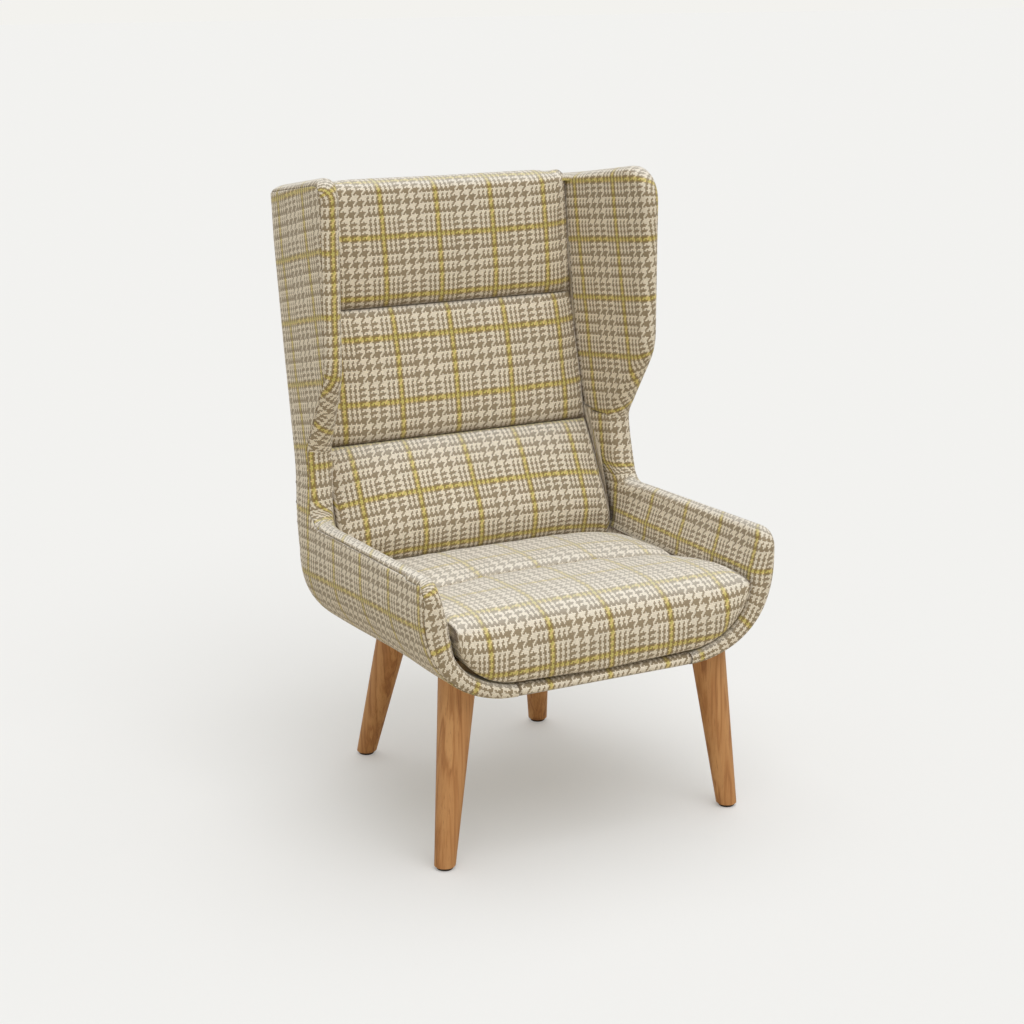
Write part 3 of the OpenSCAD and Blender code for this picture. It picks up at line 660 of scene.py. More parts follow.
@dataclass
class Skin:
    """Outer face of the upholstered shell, unrolled: a runs back along a level, b up the side."""

    half_w: float = 340.0
    underside: float = 304.0
    depth: float = 568.0
    lower_r: float = 168.0
    fullness: float = 0.03
    swell: float = 6.0
    swell_at: tuple[float, float, float, float] = (260.0, 400.0, 500.0, 620.0)
    corner: float = 15.0
    corner_run: tuple[float, float] = (150.0, 520.0)
    corner_top: float = 455.0
    corner_share: tuple[float, float, float] = (0.70, 0.50, 0.50)
    tight_share: float = 0.07
    tight_at: tuple[float, float, float, float] = (480.0, 560.0, 700.0, 820.0)
    rear_r: float = 90.0
    turn_r: float = 44.0
    recline: float = 10.0
    wing_y: float = 396.0
    wing_top: float = 1135.0
    fall: float = math.tan(math.radians(8.7))

    @property
    def lean(self) -> float:
        """Depth that the rear face gains for each millimetre of height."""
        return math.tan(math.radians(self.recline))

    @property
    def reach(self) -> float:
        """Distance from the rear face's lower corner at which its turn into the underside starts."""
        return self.turn_r * math.tan(math.radians((90 - self.recline) / 2))

    @property
    def shoulder(self) -> float:
        """Height at which the lower rounding starts."""
        return self.underside + self.lower_r

    @property
    def bottom(self) -> float:
        """Unrolled height of the flat underside's edge."""
        return self.shoulder - self.lower_r * math.pi / 2

    def level(self, b: Array) -> tuple[Array, Array]:
        """Height and half width at an unrolled height.

        Args:
            b: unrolled heights.

        Returns:
            Heights and half widths.
        """
        angle = np.clip((self.shoulder - b) / self.lower_r, 0, math.pi / 2)
        full = self.lower_r * (1 + self.fullness * np.sin(2 * angle) ** 2)
        z = np.where(b < self.shoulder, self.shoulder - full * np.sin(angle), b)
        swell = self.swell * window(*self.swell_at, b)
        return z, self.half_w + swell - self.lower_r + full * np.cos(angle)

    def rear(self, z: Array) -> Array:
        """Depth of the rear face, with its turn into the underside.

        Args:
            z: heights.

        Returns:
            Depths of the face at the heights.
        """
        straight = self.depth + (z - self.underside) * self.lean
        centre_y, centre_z = self.depth - self.reach, self.underside + self.turn_r
        low = self.underside + self.reach * math.cos(math.radians(self.recline))
        bend = centre_y + np.sqrt(np.maximum(0, self.turn_r ** 2 - (centre_z - np.minimum(z, centre_z)) ** 2))
        return np.where(z < low, np.minimum(bend, straight), straight)

    def end(self, b: Array) -> Array:
        """Unrolled depth of the rear seam at an unrolled height."""
        z, _ = self.level(b)
        return self.rear(z) - self.rear_r + self.rear_r * math.pi / 2

    def place(self, a: Array, b: Array) -> Array:
        """Points of the outer face.

        Args:
            a: unrolled depths.
            b: unrolled heights.

        Returns:
            Rows of X, Y, Z.
        """
        a, b = np.broadcast_arrays(np.asarray(a, float), np.asarray(b, float))
        z, w = self.level(b)
        rear = self.rear(z)
        start = rear - self.rear_r
        turn = np.clip((a - start) / self.rear_r, 0, math.pi / 2)
        beyond = np.maximum(0, a - start - self.rear_r * math.pi / 2)
        x = w - self.rear_r * (1 - np.cos(turn)) - beyond
        y = np.minimum(a, start) + self.rear_r * np.sin(turn)
        share = smooth(*self.corner_run, a) * (1 - smooth(0.5, 1.0, turn / (math.pi / 2)))
        low = np.sin(np.clip((b - self.bottom) / (self.corner_top - self.bottom), 0, 1) * math.pi)
        out = share * self.corner * (low - self.tight_share * window(*self.tight_at, b))
        along_x, along_y, along_z = self.corner_share
        return np.stack([x + along_x * out, y + along_y * out, z - along_z * share * self.corner * low], -1)

    def normal(self, a: Array, b: Array) -> Array:
        """Outward unit normals of the outer face.

        Args:
            a: unrolled depths.
            b: unrolled heights.

        Returns:
            Rows of X, Y, Z of length 1.
        """
        e = 0.4
        b = np.maximum(b, self.bottom + e)
        da = self.place(np.asarray(a) + e, b) - self.place(np.asarray(a) - e, b)
        db = self.place(a, b + e) - self.place(a, b - e)
        n = np.cross(da, db)
        return n / np.maximum(np.linalg.norm(n, axis=-1, keepdims=True), 1e-9)

    def top(self, a: Array) -> Array:
        """Height of the wing's and back's top edge.

        Args:
            a: unrolled depths.

        Returns:
            Heights of the edge, found in a few rounds because it also gets closer as it rises.
        """
        a = np.asarray(a, float)
        z = self.wing_top - (a - self.wing_y) * self.fall
        for _ in range(12):
            z = self.wing_top - (self.place(a, z)[..., 1] - self.wing_y) * self.fall
        return z


# Run along the side at which the rear corner's top height is taken.
REAR_A = 700.0


@dataclass
class Edge:
    """Front and top edge of a side wall, unrolled, from the underside's front corner round to the back."""

    skin: Skin = field(default_factory=Skin)
    arm_front: float = 532.5
    arm_rear: float = 517.0
    post: float = 467.0
    notch: tuple[float, float] = (489.0, 643.0)
    taper: float = 784.0
    radii: tuple[float, ...] = (36.0, 26.0, 26.0, 110.0, 48.0)
    top_run: float = 280.0
    top_clear: float = 4.0
    spacing: float = 7.0
    degrees: float = 6.0

    def trace(self) -> tuple[Array, Array, list[int]]:
        """Points of the edge.

        Returns:
            Rows of a and b, their outward normals, and the numbers of the points in the middle of the bend
            between arm and post and of the notch.
        """
        skin = self.skin
        corners = [np.array(p, float) for p in (
            (0, skin.bottom), (0, self.arm_front), (self.post, self.arm_rear), self.notch,
            (skin.wing_y, self.taper), (skin.wing_y, skin.wing_top))]
        start = float(skin.rear(np.array(skin.wing_top - self.top_run * skin.fall)) - skin.rear_r) - self.top_clear
        corners.append(np.array([start, skin.wing_top - (start - skin.wing_y) * skin.fall]))
        points: list[Array] = [corners[0]]
        middles: list[int] = []
        for k in range(1, len(corners) - 1):
            before, here, after = corners[k - 1:k + 2]
            u = (here - before) / np.linalg.norm(here - before)
            v = (after - here) / np.linalg.norm(after - here)
            turn = math.atan2(u[0] * v[1] - u[1] * v[0], float(u @ v))
            radius = self.radii[k - 1]
            reach = radius * math.tan(abs(turn) / 2)
            self._run(points, here - u * reach)
            centre = here - u * reach + np.array([-u[1], u[0]]) * radius * math.copysign(1, turn)
            steps = max(4, int(abs(math.degrees(turn)) / self.degrees))
            first = points[-1] - centre
            for s in range(1, steps + 1):
                angle = turn * s / steps
                c, n = math.cos(angle), math.sin(angle)
                points.append(centre + np.array([c * first[0] - n * first[1], n * first[0] + c * first[1]]))
                if s == steps // 2 and k in (2, 3):
                    middles.append(len(points) - 1)
        self._run(points, corners[-1])
        last = float(skin.end(skin.top(np.array(REAR_A))))
        for a in np.linspace(points[-1][0], last, 30)[1:]:
            points.append(np.array([a, float(skin.top(np.array(a)))]))
        line = np.array(points)
        tangent = np.gradient(line, axis=0)
        tangent /= np.linalg.norm(tangent, axis=1, keepdims=True)
        return line, np.stack([-tangent[:, 1], tangent[:, 0]], -1), middles

    def _run(self, points: list[Array], target: Array) -> None:
        """Add evenly spaced points up to a target.

        Args:
            points: the edge so far, which gets the new points.
            target: where the straight piece ends.
        """
        start = points[-1]
        steps = max(1, int(np.linalg.norm(target - start) / self.spacing))
        for s in range(1, steps + 1):
            points.append(start + (target - start) * s / steps)


@dataclass
class Weave:
    stripe_u: float
    stripe_v: float
    repeat_u: float = REPEAT[0]
    repeat_v: float = REPEAT[1]
    lean: float = 0.0
    low_lean: float | None = None
    rise_lean: float | None = None
    post: tuple[float, float] = (0.0, 0.0)
    across: float = 1.0
    pivot: tuple[float, float] = (540.0, 590.0)
    blend_at: tuple[float, float] = (520.0, 650.0)
    post_at: tuple[float, float] = (516.0, 562.0)

    def repeats(self, a: Array, b: Array) -> Array:
        """Repeats of the check at unrolled places.

        Args:
            a: unrolled depths.
            b: unrolled heights.

        Returns:
            Rows of repeats along the weft and the warp.
        """
        low = self.lean if self.low_lean is None else self.low_lean
        angle = np.radians(low + (self.lean - low) * smooth(*self.blend_at, b))
        da, db = a - self.pivot[0], b - self.pivot[1]
        u = da * np.cos(angle) - db * np.sin(angle)
        rise = angle if self.rise_lean is None else math.radians(self.rise_lean)
        v = da * np.sin(rise) + db * np.cos(rise)
        on_post = smooth(*self.post_at, b)
        return np.stack([self.across * (u - self.stripe_u) / self.repeat_u + STRIPE[0] + self.post[0] * on_post,
                         (v - self.stripe_v) / self.repeat_v + STRIPE[1] + self.post[1] * on_post], -1)


@dataclass
class SideWall:
    """One padded side wall: outer cover, arm inside and wing inside, sewn together along the rim."""

    side: Side
    cloth: bpy.types.Material
    skin: Skin = field(default_factory=Skin)
    rim_depth: float = 16.5
    wall: float = 33.0
    toe: float = math.tan(math.radians(9.2))
    low_turns: tuple[float, ...] = (-1, 0, 23, 38, 55, 75, 90)
    low_walls: tuple[float, ...] = (47.5, 47.5, 45, 36, 30, 27, 22)
    arm_at: tuple[float, float] = (450.0, 510.0)
    arm_back: float = 645.0
    wing_back: float = 690.0
    wing_drop: float = 18.0
    crease_z: tuple[float, ...] = (421.0, 509.0, 584.0, 629.0, 719.0, 795.0, 870.0, 1063.0)
    crease_y: tuple[float, ...] = (480.5, 517.5, 550.5, 570.5, 590.5, 606.5, 621.5, 645.5)
    outer: Weave = field(default_factory=lambda: Weave(-48.7, 270.0, lean=12.5, low_lean=3.2))
    arm: Weave = field(default_factory=lambda: Weave(-175.0, -137.0, lean=8.0, low_lean=0.0, post=(0.31, 0.17)))
    wing: Weave = field(default_factory=lambda: Weave(96.6, 276.8, repeat_u=113.0, lean=9.5, rise_lean=6.0))

    def thickness(self, a: Array, b: Array) -> Array:
        """Thickness of the padded wall.

        Args:
            a: unrolled depths.
            b: unrolled heights.

        Returns:
            Distances from the outer to the inner face.
        """
        turn = np.degrees((self.skin.shoulder - b) / self.skin.lower_r)
        low = np.interp(turn, self.low_turns, self.low_walls)
        start, end = self.arm_at
        thicker = self.low_walls[0] - self.wall
        arm = np.where(b > start, self.wall + np.clip((end - b) / (end - start), 0, 1) * thicker, low)
        crease = np.interp(b, self.crease_z, self.crease_y) + 4
        wing = self.wall + np.maximum(0, np.minimum(a, crease) - self.skin.wing_y) * self.toe * smooth(380, 450, b)
        share = smooth(500, 610, b)
        pad = arm * (1 - share) + wing * share
        return pad + np.maximum(0, wing - pad) * smooth(400, 450, b)

    def seam_angle(self, b: Array) -> Array:
        """Angle round the rim at which the outer cover ends, in degrees from the outer face."""
        return np.where(b > 530, 14.0, 30.0)

    def edge(self) -> Edge:
        """The side's own edge, whose top front corner is rounder on the sitter's left."""
        return Edge(self.skin, radii=Edge.radii[:-1] + (62.0 if self.side is Side.LEFT else 38.0,))

    def __post_init__(self) -> None:
        """Turn the check's right side outwards on every panel."""
        if self.side is Side.RIGHT:
            self.wing = Weave(-153.5, 310.0, repeat_u=113.0, rise_lean=0.0)
            self.outer.stripe_v += 4.5
            self.arm.stripe_v -= 47.0
        self.outer.across = float(self.side.value)
        self.arm.across = self.wing.across = -float(self.side.value)

    def build(self) -> None:
        """Make the outer cover and the arm's and the wing's inside."""
        line, out, (bend, notch) = self.edge().trace()
        last = len(line) - 1
        word = self.side.word
        outer = self._rim(line, out, 0, last, self.outer, True)
        outer = outer.joined(self._face(line, out, 0, last, self.outer, True))
        arm = self._rim(line, out, 0, bend, self.arm, False).joined(self._rim(line, out, bend, notch, self.arm, False))
        arm = arm.joined(self._face(line, out, 0, notch, self.arm, False))
        wing = self._rim(line, out, notch, last, self.wing, False)
        wing = wing.joined(self._face(line, out, notch, last, self.wing, False))
        pieces = []
        for piece, name, node in ((outer, "outer_side", "side_cover"), (arm, "arm_inside", "arm_pad"),
                                  (wing, "wing_inside", "wing_pad")):
            pieces.append(piece.mirrored(self.side).build(f"{name}_{word}", self.cloth))
            settle(pieces[-1], "check_fabric", f"{node}_{word}")

    def _rim(self, line: Array, out: Array, first: int, last: int, weave: Weave, outside: bool) -> Piece:
        """The half-round rim between two points of the edge.

        Args:
            line: points of the edge.
            out: their outward normals.
            first: number of the first point.
            last: number of the last point.
            weave: lie of the check.
            outside: whether to make the outer cover's share, or the inside's.

        Returns:
            The rim's share as a piece.
        """
        skin, r = self.skin, self.rim_depth
        pick = np.arange(first, last + 1)
        edge, n2 = line[pick], out[pick]
        inner = edge - n2 * r
        a, b = inner[:, 0], inner[:, 1]
        base, up = skin.place(a, b), skin.normal(a, b)
        e = 0.5
        below = np.maximum(b - e, skin.bottom)
        out3 = ((skin.place(a + e, b) - skin.place(a - e, b)) * n2[:, :1]
                + (skin.place(a, b + e) - skin.place(a, below)) * n2[:, 1:])
        out3 -= up * np.sum(out3 * up, axis=1, keepdims=True)
        out3 /= np.linalg.norm(out3, axis=1, keepdims=True)
        half = self.thickness(a, b)[:, None] / 2
        square = 1.0 / (1.0 + 0.22 * (1 - smooth(480, 520, b)))[:, None]
        seam = self.seam_angle(edge[:, 1])[:, None]
        if outside:
            turn = np.radians(seam * np.array([0, 0.5, 0.8, 0.93, 0.985, 1.0]))
            sink = np.array([0, 0, 0, 0.35, 1.1, 2.0])
        else:
            turn = np.radians(seam + (180 - seam) * np.concatenate([[0, 0.012, 0.04], np.linspace(0.09, 1, 18)]))
            sink = np.concatenate([[2.0, 0.9, 0.25], np.zeros(18)])
        c, s = np.cos(turn), np.sin(turn)
        c = np.sign(c) * np.abs(c) ** square
        s = np.abs(s) ** square
        scale_c, scale_s = half * np.ones_like(c) - sink, r * np.ones_like(c) - sink
        raised = up[:, None] * (c * scale_c - half)[..., None]
        points = base[:, None] + raised + out3[:, None] * (s * scale_s)[..., None]
        arc = lengths(points, 1)
        if not outside:
            arc = arc[:, -1:] - arc
        far = self._steady(n2)[:, None] * arc[..., None] + inner[:, None]
        repeats = weave.repeats(far[..., 0], far[..., 1])
        # Painted shade along the sunk seam line of the rim.
        crease_shade = np.zeros_like(c) + 0.45 * (sink > 0.5)
        return Piece.sheet(points, repeats, crease_shade)

    def _steady(self, n2: Array) -> Array:
        """Directions in which the cloth is carried over the rim, straight past the hollow bends.

        Args:
            n2: the edge's outward normals.

        Returns:
            The normals, with those in a hollow bend taken from the nearest point outside it.
        """
        steady = n2.copy()
        turn = n2[:-1, 0] * n2[1:, 1] - n2[:-1, 1] * n2[1:, 0]
        hollow = np.zeros(len(n2), bool)
        hollow[1:] |= turn > 1e-3
        hollow[:-1] |= turn > 1e-3
        for k in range(len(n2)):
            if hollow[k]:
                clear = np.nonzero(~hollow)[0]
                if len(clear):
                    steady[k] = n2[clear[np.argmin(np.abs(clear - k))]]
        return steady

    def _face(self, line: Array, out: Array, first: int, last: int, weave: Weave, outside: bool) -> Piece:
        """Outer or inner face of the wall behind the rim.

        Args:
            line: points of the edge.
            out: their outward normals.
            first: number of the edge's first point.
            last: number of its last point.
            weave: lie of the check.
            outside: whether to make the outer face.

        Returns:
            The face as a piece.
        """
        skin = self.skin if outside else replace(self.skin, rear_r=2.0, corner=0.0)
        rim = (line - out * self.rim_depth)[first:last + 1]
        top_b, low_b = rim[-1, 1], rim[0, 1]
        if outside:
            levels = np.linspace(rim[-1, 1], skin.bottom, 70)[1:-1]
            rear = np.stack([skin.end(levels), levels], -1)
            corner = np.array([[float(skin.end(np.array(skin.bottom + 0.01))), skin.bottom]])
            run = np.linspace(corner[0, 0], rim[0, 0], 40)[1:-1]
            below = np.stack([run, np.full_like(run, skin.bottom)], -1)
            loop = np.vstack([rim, rear, corner, below])
            seams = np.vstack([rim[-1:], rear, corner, below, rim[:1]])
        elif first == 0:
            back = self.arm_back
            loop = np.vstack([rim, [[back, top_b], [back, low_b]]])
            seams = np.array([rim[-1], [back, top_b]])
        else:
            back = self.wing_back
            high = float(skin.top(np.array(back))) - self.wing_drop
            loop = np.vstack([rim[rim[:, 0] < back], [[back, high], [back, low_b]]])
            seams = np.array([[back, low_b], rim[0]])
        points, tris = fill(loop, 12.0, seams)
        gap = distance(points, seams)
        a, b = points[:, 0], points[:, 1]
        away = np.minimum(distance(points, rim), gap)
        lift = 2.2 * smooth(0, 90, away) if outside else 1.5 * smooth(0, 60, away)
        sink = 2.2 * np.exp(-(gap / 2.6) ** 2)
        depth = 0.0 if outside else self.thickness(a, b)
        sign = 1.0 if outside else -1.0
        place = skin.place(a, b) - skin.normal(a, b) * (depth - sign * (lift - sink))[..., None]
        faces = tris if outside else [tuple(reversed(t)) for t in tris]
        # Painted shade along the seams, and on the inside in the crease where the wall meets the cushions.
        crease_shade = (0.6 if outside else 0.25) * np.exp(-(gap / 4.0) ** 2)
        if not outside:
            crease = np.interp(b, self.crease_z, self.crease_y)
            crease_shade = np.maximum(crease_shade, np.exp(-(np.minimum(0, a - crease + 3) / 9.0) ** 2) * (b > 430))
        return Piece(place, faces, weave.repeats(a, b), crease_shade)


def distance(points: Array, line: Array) -> Array:
    """Distances from points to a chain of straight pieces.

    Args:
        points: rows of two coordinates.
        line: the chain's corners.

    Returns:
        The least distance of each point.
    """
    best = np.full(len(points), 1e9)
    for p, q in zip(line[:-1], line[1:]):
        d = q - p
        t = np.clip(((points - p) @ d) / max(float(d @ d), 1e-9), 0, 1)
        best = np.minimum(best, np.linalg.norm(points - p - t[:, None] * d, axis=1))
    return best


def fill(loop: Array, spacing: float, seams: Array) -> tuple[Array, list[tuple[int, ...]]]:
    """Fill a closed outline with triangles.

    Args:
        loop: the outline's corners in order.
        spacing: distance between the points inside.
        seams: part of the outline that gets closer rows beside it.

    Returns:
        The points and the triangles, wound like the outline's left-hand side.
    """
    low, high = loop.min(0), loop.max(0)
    xs = np.arange(low[0] + spacing / 2, high[0], spacing)
    ys = np.arange(low[1] + spacing / 2, high[1], spacing)
    gx, gy = np.meshgrid(xs, ys)
    gx = gx + (np.arange(len(ys)) % 2)[:, None] * spacing / 2
    inside = np.stack([gx.ravel(), gy.ravel()], -1)
    inside = inside[distance(inside, np.vstack([loop, loop[:1]])) > spacing * 0.55]
    inside = inside[distance(inside, seams) > 10.5]
    rows = []
    for depth in (2.6, 6.5):
        for p, q in zip(seams[:-1], seams[1:]):
            d = q - p
            n = np.array([d[1], -d[0]]) / max(np.linalg.norm(d), 1e-9)
            count = max(1, round(np.linalg.norm(d) / 8))
            rows += [p + d * t + n * depth for t in np.arange(0, count) / count]
    extra = np.array(rows)
    extra = extra[distance(extra, np.vstack([loop, loop[:1]])) > 2.0]
    cloud = np.vstack([loop, inside, extra])
    edges = [(k, (k + 1) % len(loop)) for k in range(len(loop))]
    verts, _, faces, *_ = delaunay_2d_cdt([Vector(p) for p in cloud], edges, [], 1, 1e-5)
    points = np.array([tuple(v) for v in verts])
    ring = []
    for f in faces:
        p, q, s = (points[k] for k in f[:3])
        area = (q[0] - p[0]) * (s[1] - p[1]) - (q[1] - p[1]) * (s[0] - p[0])
        ring.append(tuple(f) if area > 0 else tuple(reversed(f)))
    return points, ring


def bun(t: Array) -> Array:
    """Full rounding of a stuffed channel: 1 in its middle, 0 at its seams at -1 and 1."""
    return np.sqrt(np.maximum(0, 1 - np.abs(t) ** 3))


def mix(low: Array, high: Array, share: Array) -> Array:
    """Value a share of the way from low to high."""
    return low + (high - low) * share


def shares(count: int) -> Array:
    """Shares from 0 to 1 that crowd at both ends."""
    return (1 - np.cos(np.pi * np.linspace(0, 1, count))) / 2


@dataclass
class Back:
    """Outside back, the band over its top, the band under the seat and the bottom cover."""

    cloth: bpy.types.Material
    skin: Skin = field(default_factory=Skin)
    wall: float = 34.0
    rim_depth: float = 16.5
    band: float = 20.0
    seam_x: float = 250.0
    floor_x: float = 172.0
    middle_a: float = 757.0

    def build(self) -> None:
        """Make the pieces of the back and the underside."""
        for made, name, node in ((self.outside(), "outside_back", "outside_back"),
                                 (self.top(), "back_top_edge", "back_top_band"),
                                 (self.front(), "front_band", "front_band"),
                                 (self.bottom(), "bottom_cover", "bottom_cover")):
            settle(made.build(name, self.cloth), "check_fabric", node)

    def outside(self) -> Piece:
        """Cover of the back, from the underside's rear edge to the top.

        Returns:
            The cover as one piece.
        """
        skin = self.skin
        turn = np.radians(np.linspace(0, 90 - skin.recline, 12))
        low_z = skin.underside + skin.turn_r * (1 - np.cos(turn))
        top_z = float(skin.top(np.array(self.middle_a))) - self.rim_depth
        z = np.concatenate([low_z, np.linspace(low_z[-1], top_z, 62)[1:]])
        y = skin.rear(z)
        y[:len(turn)] = skin.depth - skin.reach + skin.turn_r * np.sin(turn)
        half = skin.level(z)[1] - skin.rear_r
        s = np.sin(np.linspace(-math.pi / 2, math.pi / 2, 41))
        x = half[:, None] * s[None]
        gap = half[:, None] * (1 - np.abs(s))[None]
        rise = profile(y, z)
        end = np.minimum(gap, np.maximum(0, rise[-1] - rise)[:, None])
        swell = 2.2 * smooth(0, 90, end) - 2.2 * np.exp(-(end / 2.6) ** 2)
        slope = np.gradient(y, rise), np.gradient(z, rise)
        points = np.stack([x, y[:, None] + slope[1][:, None] * swell, z[:, None] - slope[0][:, None] * swell], -1)
        repeats = np.stack([0.2 - x / REPEAT[0], (rise[:, None] + 0 * x) / REPEAT[1] + 0.4], -1)
        # Painted shade along the cover's seams at its edges.
        return Piece.sheet(points, repeats, np.exp(-(end / 5.0) ** 2))

    def top(self) -> Piece:
        """Rounded top edge across the back.

        Returns:
            The edge as one piece.
        """
        top_z = float(self.skin.top(np.array(self.middle_a)))
        x = np.linspace(-self.seam_x, self.seam_x, 61)
        turn = np.radians(np.linspace(0, 180, 22))
        half = self.wall / 2
        rear = float(self.skin.rear(np.array(top_z - self.rim_depth)))
        y = rear - half + half * np.cos(turn)
        z = top_z - self.rim_depth + self.rim_depth * np.sin(turn)
        y, z = np.append(y, y[-1] - 2.0), np.append(z, z[-1] - 42.0)
        rise = profile(y, z)
        gx, gy = np.meshgrid(x, y)
        gz, gr = (np.meshgrid(x, line)[1] for line in (z, rise))
        gz = gz + 2.5 * (1 - smooth(150, 250, gx)) + 4.0 * smooth(-120, 260, -gx)
        repeats = np.stack([(gx + 14.3) / 114.0 + STRIPE[0], (rise[-1] - gr) / REPEAT[1] + 2.45], -1)
        # Painted shade along the edge's lower seam.
        return Piece.sheet(np.stack([gx, gy, gz], -1), repeats, np.exp(-(gr / 3.0) ** 2))

    def front(self) -> Piece:
        """Band under the seat between the arms' seams.

        Returns:
            The band as one piece.
        """
        x = np.linspace(-self.floor_x, self.floor_x, 49)
        turn = np.radians(np.linspace(0, 180, 20))
        half, r, low = self.band / 2, self.rim_depth, self.skin.underside
        swell = half + 1.0 * smooth(120, self.floor_x, np.abs(x))
        y = np.concatenate([[40, 28], r - r * np.sin(turn), [28, 40, 58]])
        c = np.concatenate([[1, 1], np.cos(turn), [-1, -1, -1]])
        z = low + swell[None] - c[:, None] * swell[None]
        gx, gy = np.meshgrid(x, y)
        rise = profile(y, z[:, len(x) // 2])
        gap = self.floor_x - np.abs(gx)
        gy = gy + 1.6 * np.exp(-(gap / 2.5) ** 2)
        repeats = np.stack([(gx - 6) / 116 + STRIPE[0], (rise[:, None] + 0 * gx) / REPEAT[1]], -1)
        # Painted shade along the band's seams at its ends.
        return Piece.sheet(np.stack([gx, gy, z], -1), repeats, np.exp(-(gap / 4.0) ** 2))

    def bottom(self) -> Piece:
        """Cover stretched under the seat.

        Returns:
            The cover as one piece.
        """
        skin = self.skin
        rear = skin.depth - skin.reach
        r = skin.rear_r
        turn = np.linspace(0, math.pi / 2, 12)
        arc = np.stack([self.floor_x - r + r * np.cos(turn), rear - r + r * np.sin(turn)], -1)
        run = np.linspace(30, rear - r, 30)[:-1]
        right = np.vstack([np.stack([np.full_like(run, self.floor_x), run], -1), arc])
        loop = np.vstack([right, right[::-1] * np.array([-1, 1])])
        seam = np.vstack([loop, loop[:1]])
        points, tris = fill(loop, 14.0, seam)
        gap = distance(points, seam)
        z = skin.underside - 1.5 * smooth(0, 80, gap) + 1.2 * np.exp(-(gap / 3) ** 2)
        place = np.stack([points[:, 0], points[:, 1], z], -1)
        # Painted shade along the cover's stapled edge.
        return Piece(place, [tuple(reversed(t)) for t in tris], points / np.array(REPEAT), np.exp(-(gap / 5) ** 2))


@dataclass(frozen=True)
class Stuffing:
    """Pressure that swells a sewn cushion between its seams in a short cloth simulation."""

    pressure: float = 2.5
    slack: float = 0.01
    frames: int = 12
    cap: float = 0.003
    voxel: float = 0.008
    spread: int = 6
    quality: int = 5
    mass: float = 0.3
    stretch: float = 12.0
    shear: float = 6.0
    bend: float = 0.4

    def plump(self, thing: bpy.types.Object, held: Array) -> None:
        """Swell a cushion, then smooth it with one subdivision.

        Args:
            thing: the cushion's object.
            held: how firmly each vertex is held, from 0 to 1.
        """
        self._swell(thing, held)
        smoother = thing.modifiers.new("smoother", "SUBSURF")
        smoother.levels = smoother.render_levels = 1
        rough, thing.data = thing.data, evaluated(thing)
        thing.modifiers.remove(smoother)
        thing.data.name = thing.name
        bpy.data.meshes.remove(rough)

    def _swell(self, thing: bpy.types.Object, held: Array) -> None:
        """Let a remeshed copy of the cushion swell, and pass its capped movement on.

        Args:
            thing: the cushion's object.
            held: how firmly each vertex is held, from 0 to 1.
        """
        copy = bpy.data.objects.new("swelling", thing.data.copy())
        bpy.context.scene.collection.objects.link(copy)
        remesh = copy.modifiers.new("remesh", "REMESH")
        remesh.mode, remesh.voxel_size = "VOXEL", self.voxel
        fine, coarse = copy.data, evaluated(copy)
        copy.modifiers.remove(remesh)
        copy.data = coarse
        bpy.data.meshes.remove(fine)
        start, targets = coordinates(coarse), coordinates(thing.data)
        swollen = self._simulate(copy, held[nearest(targets, start)])
        move = coordinates(swollen) - start
        bpy.data.objects.remove(copy)
        for mesh in (coarse, swollen):
            bpy.data.meshes.remove(mesh)
        passed = self._pass_on(start, move, targets) * (1 - held)[:, None]
        size = np.linalg.norm(passed, axis=1, keepdims=True)
        LOG.info("%s: moved %.1f mm at most, %.1f mm on average", thing.name, size.max() * 1000, size.mean() * 1000)
        passed *= np.minimum(1.0, self.cap / np.maximum(size, 1e-9))
        thing.data.vertices.foreach_set("co", (targets + passed).astype(np.float32).ravel())
        thing.data.update()

    def _simulate(self, copy: bpy.types.Object, weights: Sequence[float]) -> bpy.types.Mesh:
        """Run the cloth simulation on a copy.

        Args:
            copy: the copy's object.
            weights: how firmly each of its vertices is held, from 0 to 1.

        Returns:
            The copy's mesh at the last frame.
        """
        group = copy.vertex_groups.new(name="held")
        for number, weight in enumerate(weights):
            group.add([number], float(weight), "REPLACE")
        cloth = copy.modifiers.new("cloth", "CLOTH")
        settings = cloth.settings
        settings.quality = self.quality
        settings.mass = self.mass
        settings.tension_stiffness = settings.compression_stiffness = self.stretch
        settings.shear_stiffness = self.shear
        settings.bending_stiffness = self.bend
        settings.use_pressure = True
        settings.uniform_pressure_force = self.pressure
        settings.shrink_min = -self.slack
        settings.vertex_group_mass = group.name
        settings.effector_weights.gravity = 0.0
        cloth.point_cache.frame_start, cloth.point_cache.frame_end = 1, self.frames
        scene = bpy.context.scene
        for number in range(1, self.frames + 1):
            scene.frame_set(number)
        swollen = evaluated(copy)
        scene.frame_set(1)
        return swollen

    def _pass_on(self, start: Array, move: Array, targets: Array) -> Array:
        """Carry the copy's movement over to the cushion's own points.

        Args:
            start: points of the copy.
            move: their movement.
            targets: points of the cushion.

        Returns:
            The movement of each of the cushion's points, weighed by nearness.
        """
        tree, passed = point_tree(start), np.zeros_like(targets)
        for number, place in enumerate(targets):
            near = tree.find_n(place, self.spread)
            share = np.array([1 / (gap + self.voxel / 4) ** 2 for _, _, gap in near])
            passed[number] = (move[[index for _, index, _ in near]] * share[:, None]).sum(0) / share.sum()
        return passed


def evaluated(thing: bpy.types.Object) -> bpy.types.Mesh:
    """A new mesh of an object with its modifiers applied."""
    return bpy.data.meshes.new_from_object(thing.evaluated_get(bpy.context.evaluated_depsgraph_get()))


def coordinates(mesh: bpy.types.Mesh) -> Array:
    """Read a mesh's points.

    Args:
        mesh: the mesh.

    Returns:
        Rows of X, Y, Z.
    """
    flat = np.zeros(len(mesh.vertices) * 3, np.float32)
    mesh.vertices.foreach_get("co", flat)
    return flat.reshape(-1, 3)


